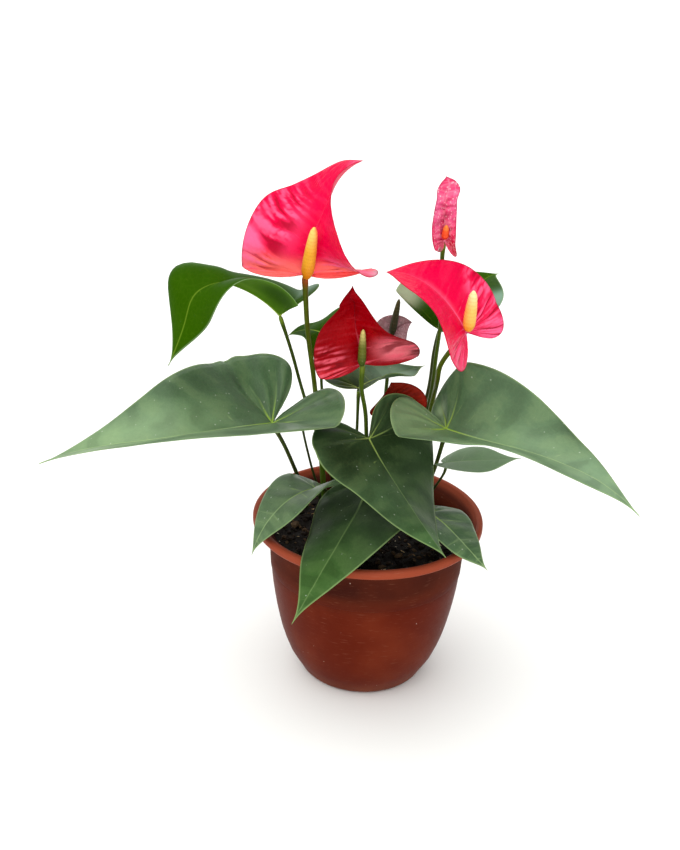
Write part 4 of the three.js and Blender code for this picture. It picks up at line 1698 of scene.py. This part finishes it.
PLANT: list[Leaf] = [
    Leaf("leaf_left", MatureBlade(
        MATURE, at=(-63, -10, 180), length=154, half_width=(59, 57), lobe=(0.83, 0.89),
        heading=[226, 203, 181, 180], rise=[13, -2, -10, -26], roll=[6, -1, 2],
        fold=([14, 28, 7], [24, 26, -1]), curl=(5, -5), lobe_lift=(40, 47),
        pucker=0.45,
        washes=[
            # painted sheen: the light grey-green patches on the middle and the tip of the blade
            Wash((0.52, -0.12), (0.3, 0.34), 0.5, 0x8CA87C),
            Wash((0.82, 0.0), (0.2, 0.5), 0.6, 0x7E9C6C),
            Wash((0.25, -0.75), (0.24, 0.25), 0.45, 0x33482E),
            Wash((0.4, 0.25), (0.4, 0.14), 0.4, 0x84A074),
            Wash((-0.12, 0.5), (0.14, 0.5), 0.3, 0x55714A),
        ],
        nudges=[Nudge((-0.01, -0.95), (0.09, 0.3), 1.0, (0, 0, 4.5))],
    ), Stalk(LEAF_STALK, 1.45, via=[(-54, 4, 154)], foot=(-42, 30))),
    Leaf("leaf_right", MatureBlade(
        MATURE, at=(47, 1, 177), length=143, half_width=(46, 48), lobe=(0.56, 0.76),
        heading=[-43, -37, -31, -25], rise=[5, 7, -7, -40], roll=[7, -2, 5],
        fold=([39, 0, 0], [15, 22, -1]), curl=(-38, -6), lobe_lift=(-12, 43),
        pucker=0.45,
        washes=[
            # painted sheen: the light grey-green patches; the one on the right lobe is painted
            # light on a lobe that lies in shade
            Wash((0.4, 0.1), (0.28, 0.4), 0.6, 0x78966F),
            Wash((0.6, 0.68), (0.14, 0.16), 0.75, 0x2C4226),
            Wash((0.35, -0.55), (0.3, 0.25), 0.5, 0x86A27C),
            Wash((0.82, 0.0), (0.2, 0.5), 0.7, 0x7F9C78),
            Wash((-0.1, -0.45), (0.17, 0.5), 0.85, 0x7E9A6C),
            Wash((-0.16, 0.27), (0.05, 0.12), 0.8, 0x8CA57C),
        ],
    ), Stalk(LEAF_STALK, 1.45, via=[(42, 8, 147)], foot=(34, 31))),
    Leaf("leaf_centre", MatureBlade(
        MATURE_DARK, at=(-2, -21, 178), length=92, half_width=(54, 55), lobe=(0.97, 0.92),
        heading=[-47, -49, -53, -51], rise=[-43, -32, -27, -24], roll=[-13, -23, -10],
        fold=([14, -8, -28], [13, 8, -12]), curl=(7, 22), lobe_lift=(31, -26),
        pucker=0.35,
        washes=[
            # painted shade: the near-black patches at the base, under the blooms above
            Wash((0.1, -0.6), (0.22, 0.38), 0.8, 0x131F0A),
            Wash((0.08, 0.15), (0.2, 0.5), 0.6, 0x16240C),
            Wash((0.5, -0.35), (0.25, 0.35), 0.4, 0x3C5437),
            Wash((0.85, 0.0), (0.15, 0.4), 0.5, 0x4C7040),
        ],
    ), Stalk(LEAF_STALK, 1.5, via=[(-3, -4, 165), (2, 9, 135)], foot=(2, 14))),
    Leaf("leaf_front", MatureBlade(
        MATURE_DARK, at=(-1, -3, 138), length=127, half_width=(40, 37), lobe=(0.35, 0.35),
        heading=[-96, -109, -114, -120], rise=[-5, -12, -22, -34], roll=[8, 12, -12],
        fold=([-10, 1, 6], [-14, -10, 15]), curl=(-1, 16), lobe_lift=(0, 8),
        washes=[
            Wash((0.78, 0.0), (0.3, 0.7), 0.7, 0x3C5E28),
            # painted shadow: the dark patch at the base, under the leaves above
            Wash((0.05, 0.0), (0.25, 0.8), 0.5, 0x1A2A10),
        ],
    ), Stalk(LEAF_STALK, 1.4, via=[(-2, 1, 127), (-6, 6, 114)], foot=(-8, 8))),
    Leaf("leaf_low_left", MatureBlade(
        MATURE, at=(-34, -15, 138), length=65, half_width=(27, 27), lobe=(0.8, 0.8),
        heading=[-138, -141, -140, -139], rise=[13, -22, -49, -72], roll=[8, 4, 3],
        fold=([27, 0, 1], [10, -3, -2]), curl=(-9, 5), lobe_lift=(0, -10),
        washes=[Wash((0.4, 0.0), (0.6, 1.0), 0.85, 0x5C7550)],
    ), Stalk(
        LEAF_STALK, 1.1, via=[(-32.5, -9, 130.8), (-31, 1, 129.5), (-28, 12, 122)], foot=(-26, 18)
    )),
    Leaf("leaf_low_right", MatureBlade(
        MATURE, at=(39, -15, 125), length=60, half_width=(25, 27), lobe=(0.9, 0.9),
        heading=[-56, -54, -48, -39], rise=[5, -10, -21, -30], roll=[-3, -12, 19],
        fold=([-1, 0, 0], [1, 10, -16]), curl=(11, 2), lobe_lift=(-7, 0),
        washes=[Wash((0.4, 0.0), (0.6, 1.0), 0.5, 0x3A5234)],
    ), Stalk(LEAF_STALK, 1.1, via=[(38, -12, 115)], foot=(32, -4))),
    Leaf("leaf_upper_left", Blade(
        YOUNG, at=(-60, -7, 252), length=106, half_width=(42, 46), lobe=(0.1, 0.62),
        heading=[168, 203, 227, 230], rise=[45, 22, -67, -56], roll=[28, -2, -2],
        fold=([25, 28, -47], [57, 8, -13]), curl=(21, 60), lobe_lift=(100, 76),
        washes=[
            Wash((0.1, 0.5), (0.14, 0.4), 0.8, 0x21400A),
            # painted sheen: the pale grey-green patches on the right lobe and the right half
            Wash((-0.12, -0.7), (0.14, 0.3), 0.9, 0x6F8B78),
            Wash((0.42, -0.7), (0.1, 0.24), 0.8, 0x7C9A6A),
            Wash((0.3, 0.14), (0.16, 0.07), 0.5, 0x5E8424),
        ],
        nudges=[
            Nudge((0.6, -0.6), (0.15, 0.5), 1.0, (-3, 0, 12)),
            Nudge((0.42, -0.6), (0.1, 0.5), 1.0, (2, 0, 3)),
        ],
    ), Stalk(YOUNG_STALK, 1.2, via=[(-53, 6, 223), (-45, 14, 190)], foot=(-20, 34))),
    Leaf("leaf_under_right", Blade(
        PALE, at=(49, 5, 151), length=48, half_width=(21, 21), lobe=(0.4, 0.4),
        heading=[-11, -6, 0, 7], rise=[17, 9, 6, 6], roll=[-6, -1, 3],
        fold=([0, 0, 0], [21, 11, -2]), curl=(10, 3), lobe_lift=(0, 0),
        nudges=[
            Nudge((0.4, -0.9), (0.5, 0.7), 1.0, (0, -1.5, -3.5)),
            Nudge((0.4, 0.9), (0.5, 0.7), 1.0, (0, 1.5, 2.5)),
        ],
    ), Stalk(LEAF_STALK, 0.9, via=[(48.2, 8.5, 143), (43, 25, 122)], foot=(38, 42))),
    Leaf("leaf_under_bloom", Blade(
        MATURE_DARK, at=(-10, 6, 200), length=61, half_width=(27, 27), lobe=(0.71, 0.45),
        heading=[57, 45, 42, 44], rise=[7, -1, -4, 0], roll=[-7, 1, 6],
        fold=([16, 14, 7], [27, 15, -4]), curl=(14, -6), lobe_lift=(14, -8),
        pucker=0.9, folds=2.5,
        washes=[
            Wash((0.5, -0.1), (0.3, 0.6), 0.85, 0x7C9A80),
            # painted shade: the dark patch at the base, under the bloom above
            Wash((-0.1, 0.3), (0.3, 0.7), 0.9, 0x1E2C06),
        ],
    ), Stalk(YOUNG_STALK, 1.1, via=[(-10, 10, 186), (-10, 18, 168)], foot=(-10, 38))),
    Leaf("leaf_back_right", Blade(
        YOUNG, at=(40, 40, 229), length=68, half_width=(39, 38), lobe=(0.1, 0.25),
        heading=[39, 51, 58, 48], rise=[38, 31, 15, -8], roll=[10, 9, 10],
        fold=([38, 4, 8], [42, 24, 10]), curl=(2, 10), lobe_lift=(0, 23),
        washes=[
            # painted sheen: the pale grey-green patches
            Wash((0.03, 0.8), (0.2, 0.26), 0.9, 0xA3B090),
            Wash((-0.05, 0.3), (0.25, 0.25), 0.6, 0x1C3A08),
            Wash((0.45, -0.7), (0.22, 0.35), 0.85, 0x7F9F8C),
            Wash((0.7, -0.3), (0.15, 0.25), 0.6, 0x2A3F22),
        ],
    ), Stalk(LEAF_STALK, 1.3, via=[(37.5, 43, 213), (35.5, 46, 184)], foot=(20, 49))),
    Leaf("leaf_young", Blade(
        YOUNG, at=(-29, 22, 226), length=31, half_width=(20, 28), lobe=(1, 1),
        heading=[155, 162, 171, 179], rise=[33, 7, -16, -37], roll=[-19, 6, -9],
        fold=([0, 1, 0], [32, -4, 8]), curl=(9, 2), lobe_lift=(0, 20),
    ), Stalk(YOUNG_STALK, 1.1, via=[(-34, 24, 205), (-34, 28, 188)], foot=(-18, 46))),
    Bloom("bloom_tall_left", Spathe(
        FRESH, at=(-45, -15, 282), length=84, half_width=(44, 44), lobe=(0.3, 0.33),
        heading=[-18, -19, -10, -24], rise=[93, 66, 71, 27], roll=[93, 56, 7],
        fold=([2, 13, 5], [-21, 33, 25]), curl=(16, 22), lobe_lift=(62, 62),
        rows=150, columns=36, folds=5.5, quilt=0.25,
        rumples=[
            Patch((0.2, 0.78), (0.26, 0.42), 1.0),
            Patch((0.12, -0.65), (0.12, 0.4), 0.8),
            Patch((0.42, 0.5), (0.26, 0.3), 0.45),
        ],
        washes=[
            Wash((0.26, 0.3), (0.22, 0.16), 0.5, 0xF63C6C),
            Wash((0.08, 0.88), (0.1, 0.2), 0.6, 0xEE6AA0),
            Wash((0.18, -0.68), (0.09, 0.35), 0.5, 0xF2658C),
            # coral band at the base: partly the spathe's own colour, partly painted light that
            # lifts the shade where the lobes curl under
            Wash((-0.12, 0.0), (0.12, 2.2), 0.9, 0xFF7068),
            Wash((0.0, 0.35), (0.085, 0.75), 0.95, 0xFF7068),
            Wash((0.06, -0.45), (0.08, 0.5), 0.95, 0xFF7068),
            Wash((0.14, -1.02), (0.07, 0.14), 1.0, 0xD0A0AC),
            Wash((0.95, 0.1), (0.09, 0.12), 0.6, 0xEE3F72),
        ],
        nudges=[Nudge((0.6, 0.72), (0.26, 0.42), 1.0, (0.5, 0, -4.5))],
    ), Stalk(FLOWER_STALK, 1.7, via=[(-43, -4, 243), (-37.7, 10, 196)], foot=(-29, 22)),
        spadix=Spadix(GOLDEN, foot=(-43.8, -18.5, 281), top=(-39.5, -28, 316), radius=(4.2, 3))),
    Bloom("bloom_right", Spathe(
        FRESH, at=(54, -7, 247), length=66, half_width=(38, 37), lobe=(1.33, 1.3),
        heading=[175, 171, 163, 160], rise=[61, 48, 22, -15], roll=[-18, -10, -4],
        fold=([2, 15, -4], [15, 15, 1]), curl=(-8, 1), lobe_lift=(-10, 24),
        rows=140, columns=36, folds=5.5, quilt=0.25,
        rumples=[
            Patch((0.1, -0.8), (0.3, 0.36), 1.0),
            Patch((-0.08, -0.55), (0.14, 0.4), 1.0),
            Patch((-0.04, 0.6), (0.12, 0.3), 0.5),
        ],
        washes=[
            Wash((0.02, -0.75), (0.2, 0.4), 0.4, 0xF0305E),
            Wash((-0.15, -0.45), (0.1, 0.5), 0.75, 0xF05C88),
            Wash((-0.1, 0.7), (0.16, 0.4), 0.8, 0xF24A72),
            Wash((0.4, 0.0), (0.3, 0.07), 0.6, 0xF24A6E),
        ],
    ), Stalk(
        FLOWER_STALK, 1.7, via=[(41, 4, 221), (39.6, 15, 204), (38.5, 28.5, 186.5)], foot=(25, 28)
    ),
        spadix=Spadix(PALE_GOLDEN, foot=(55, -10, 249), top=(56.5, -12, 276), radius=(4.1, 3.1))),
    Bloom("bloom_top", Spathe(
        SPECKLED, at=(38, 20, 296), length=40, half_width=(14, 14), lobe=(1.02, 1.03),
        heading=[9, 7, 7, 6], rise=[99, 88, 91, 100], roll=[87, 88, 85],
        fold=([51, 45, 27], [46, 39, 23]), curl=(-5, -7), lobe_lift=(-1, 5),
        rows=90, columns=26, pucker=1.1,
        rumples=[Patch((0.3, 0.0), (0.5, 1.0), 0.6)],
        washes=[
            Wash((0.45, 0.55), (0.4, 0.35), 0.8, 0xE8679A),
            Wash((0.45, -0.55), (0.4, 0.35), 0.8, 0xE8679A),
            Wash((0.55, 0.0), (0.4, 0.6), 0.5, 0xEE6A9C),
            Wash((-0.1, -0.7), (0.15, 0.4), 0.9, 0xA80818),
            Wash((-0.15, 0.55), (0.06, 0.2), 0.9, 0x6F6A60),
        ],
        nudges=[
            Nudge((0.85, -0.3), (0.16, 0.4), 1.0, (4.0, 0, 2.0)),
            Nudge((0.85, 0.3), (0.14, 0.4), 1.0, (-1.5, 0, 1.0)),
            Nudge((0.2, -1.0), (0.5, 0.6), 1.0, (-3.0, 0, 0)),
            Nudge((-0.15, 0.55), (0.12, 0.4), 1.0, (0, -2, 3)),
            Nudge((-0.15, -0.6), (0.1, 0.4), 1.0, (1.5, 0, -2)),
        ],
    ), Stalk(
        GREEN_STALK, 1.4, foot=(26, 38),
        via=[(37.8, 26.5, 283), (39.3, 21.5, 243), (38.4, 32, 212), (37.2, 36, 188)],
    ),
        spadix=Spadix(ORANGE, foot=(38, 14.9, 298.5), top=(38.5, 12.6, 308), radius=(2.4, 1.7))),
    Bloom("bloom_middle", Spathe(
        SHADED, at=(-8, -19, 228), length=51, half_width=(32, 36), lobe=(0.4, 0.35),
        heading=[9, 6, -2, 2], rise=[99, 105, 93, 98], roll=[91, 79, 82],
        fold=([17, 30, 73], [5, 36, 49]), curl=(-11, 2), lobe_lift=(10, 10),
        rows=104, columns=32, folds=4.5,
        rumples=[
            Patch((0.1, 0.75), (0.3, 0.4), 1.0),
            Patch((0.18, -0.75), (0.22, 0.4), 1.0),
        ],
        washes=[
            Wash((-0.05, 0.75), (0.16, 0.5), 0.8, 0xD8303C),
            Wash((0.16, -0.62), (0.18, 0.36), 0.85, 0xF07884),
            Wash((0.1, -0.98), (0.2, 0.14), 0.9, 0x8E5058),
            Wash((0.45, 0.0), (0.2, 0.5), 0.5, 0xA80008),
        ],
        nudges=[Nudge((0.9, 0.25), (0.09, 0.3), 1.0, (-4.0, -3.0, -2.0))],
    ), Stalk(GREEN_STALK, 1.5, via=[(-8.2, -16.5, 212), (-4.6, -5, 186)], foot=(-2, 26)),
        spadix=Spadix(OLIVE, foot=(-8.5, -22.7, 228), top=(-8.5, -27, 253.5), radius=(2.8, 1.9))),
    Bloom("bloom_spent", Spathe(
        WITHERED, at=(8, 42, 222), length=18, half_width=(12, 12), lobe=(0.6, 0.6),
        heading=[7, 3, -1, -5], rise=[60, 45, 30, 10], roll=[68, 72, 68],
        fold=([13, 19, 11], [15, 16, 13]), curl=(9, 9), lobe_lift=(0, 0),
        rows=60, columns=22, quilt=0.5,
        rumples=[Patch((0.4, 0.0), (0.5, 1.0), 0.8)],
    ), Stalk(GREEN_STALK, 1.4, via=[(8, 50, 188)], foot=(4, 52)),
        spadix=Spadix(
            BROWN_GREEN, foot=(9.3, 39.3, 224), top=(12.8, 36.5, 250), radius=(2.7, 1.7)
        )),
    Bloom("bloom_low_back", Spathe(
        AGEING, at=(17, 18, 181.5), length=20, half_width=(20, 18), lobe=(1, 1),
        heading=[-7, -3, 4, 10], rise=[99, 106, 114, 122], roll=[104, 104, 102],
        fold=([15, 12, 9], [15, 8, 0]), curl=(12, 8), lobe_lift=(0, 0),
        rows=70, columns=24, pucker=1.0, quilt=0.5,
        rumples=[Patch((0.4, -0.2), (0.5, 0.8), 0.5)],
    ), Stalk(GREEN_STALK, 1.3, via=[(17, 21, 170)], foot=(12, 24)),
        spadix=Spadix(OLIVE, foot=(16.5, 14.6, 182), top=(16, 13.2, 192), radius=(2.2, 1.6))),
]
BARE_TOP: Point = (-47, 22, 172)
BARE_STALK = Stalk(LEAF_STALK, 0.9, via=[(-45, 26, 157), (-40, 31, 133)], foot=(-33, 38))


# ---- Studio and camera --------------------------------------------------------------------


@dataclass
class Viewpoint:
    """The camera, solved on the rim, lip and base of the pot."""

    at: Point = (0.0, -877.15, 594.22)
    yaw: float = -1.35
    pitch: float = -25.45
    roll: float = 2.35
    focal_pixels: float = 1530.0
    picture_height: float = 850.0
    sensor: float = 36.0
    seen: Pair = (0.01, 50.0)

    def build(self) -> None:
        """Makes the camera and gives it to the scene."""
        ahead = Vector(direction(np.array(90 - self.yaw), np.array(self.pitch)).tolist())
        right = ahead.cross(Vector((0, 0, 1))).normalized()
        up = right.cross(ahead)
        turn = math.radians(self.roll)
        across = right * math.cos(turn) + up * math.sin(turn)
        above = up * math.cos(turn) - right * math.sin(turn)
        data = bpy.data.cameras.new("viewpoint")
        data.sensor_width = self.sensor
        data.lens = self.focal_pixels / self.picture_height * self.sensor
        data.clip_start, data.clip_end = self.seen
        camera = set_up("viewpoint", data)
        place = Matrix((across, above, -ahead)).transposed().to_4x4()
        place.translation = Vector(self.at) * MM
        camera.matrix_world = place
        bpy.context.scene.camera = camera


@dataclass(frozen=True)
class SoftBox:
    """A square soft lamp that faces a point."""

    name: str
    at: Point
    size: float
    power: float
    facing: Point = (0.0, 0.0, 200.0)

    def build(self) -> None:
        """Makes the lamp."""
        data = bpy.data.lights.new(self.name, "AREA")
        data.shape, data.size, data.energy = "SQUARE", self.size * MM, self.power
        lamp = set_up(self.name, data)
        lamp.location = Vector(self.at) * MM
        way = Vector(self.facing) - Vector(self.at)
        lamp.rotation_euler = way.to_track_quat("-Z", "Y").to_euler()


@dataclass(frozen=True)
class OverheadLight:
    """Broad even light from one side of the ceiling, the same all over the floor."""

    towards: Point = (-0.3, -0.14, 1.0)
    strength: float = 2.62
    spread: float = 100.0

    def build(self) -> None:
        """Makes the lamp."""
        data = bpy.data.lights.new("overhead_light", "SUN")
        data.energy, data.angle = self.strength, math.radians(self.spread)
        lamp = set_up("overhead_light", data)
        lamp.rotation_euler = (-Vector(self.towards)).to_track_quat("-Z", "Y").to_euler()


@dataclass
class Studio:
    """Pale floor, even surrounding light and soft boxes."""

    finish: StudioFinish = StudioFinish()
    floor_reach: float = 12000.0
    sky: Colour = (1.0, 1.0, 1.0)
    sky_strength: float = 0.62
    overhead: OverheadLight = OverheadLight()
    boxes: tuple[SoftBox, ...] = (
        SoftBox("back_box", (-200, 1500, 900), 1400, 4.0),
        SoftBox("front_box", (100, -1400, 380), 1000, 6.5, (0.0, 0.0, 80.0)),
    )

    def build(self) -> None:
        """Makes floor, surrounding light and lamps."""
        reach = self.floor_reach * MM
        corners = [(x * reach, y * reach, 0) for x, y in ((-1, -1), (1, -1), (1, 1), (-1, 1))]
        data = bpy.data.meshes.new("studio_floor")
        data.from_pydata(corners, [], [(0, 1, 2, 3)])
        data.materials.append(dress(self.finish))
        floor = set_up("studio_floor", data)
        world = bpy.data.worlds.new("studio")
        world.use_nodes = True
        back = world.node_tree.nodes["Background"]
        back.inputs["Color"].default_value = (*self.sky, 1.0)
        back.inputs["Strength"].default_value = self.sky_strength
        bpy.context.scene.world = world
        bpy.context.scene.view_settings.view_transform = "Standard"
        self.overhead.build()
        for box in self.boxes:
            box.build()


def main() -> None:
    """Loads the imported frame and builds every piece, the studio and the camera round it."""
    logging.basicConfig(level=logging.INFO, format="%(name)s: %(message)s")
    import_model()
    Viewpoint().build()
    Studio().build()
    pot = Pot()
    pot.build()
    stalks = [part.stalk for part in PLANT] + [BARE_STALK]
    Soil(stalk_feet=[(*stalk.foot, stalk.radius * STALK_SHAPE[0]) for stalk in stalks]).build(pot)
    for part in PLANT:
        part.build()
    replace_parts(BARE_STALK.build("bare_fine_stalk", BARE_TOP), "bare_stalk")
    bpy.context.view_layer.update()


if __name__ == "__main__":
    main()
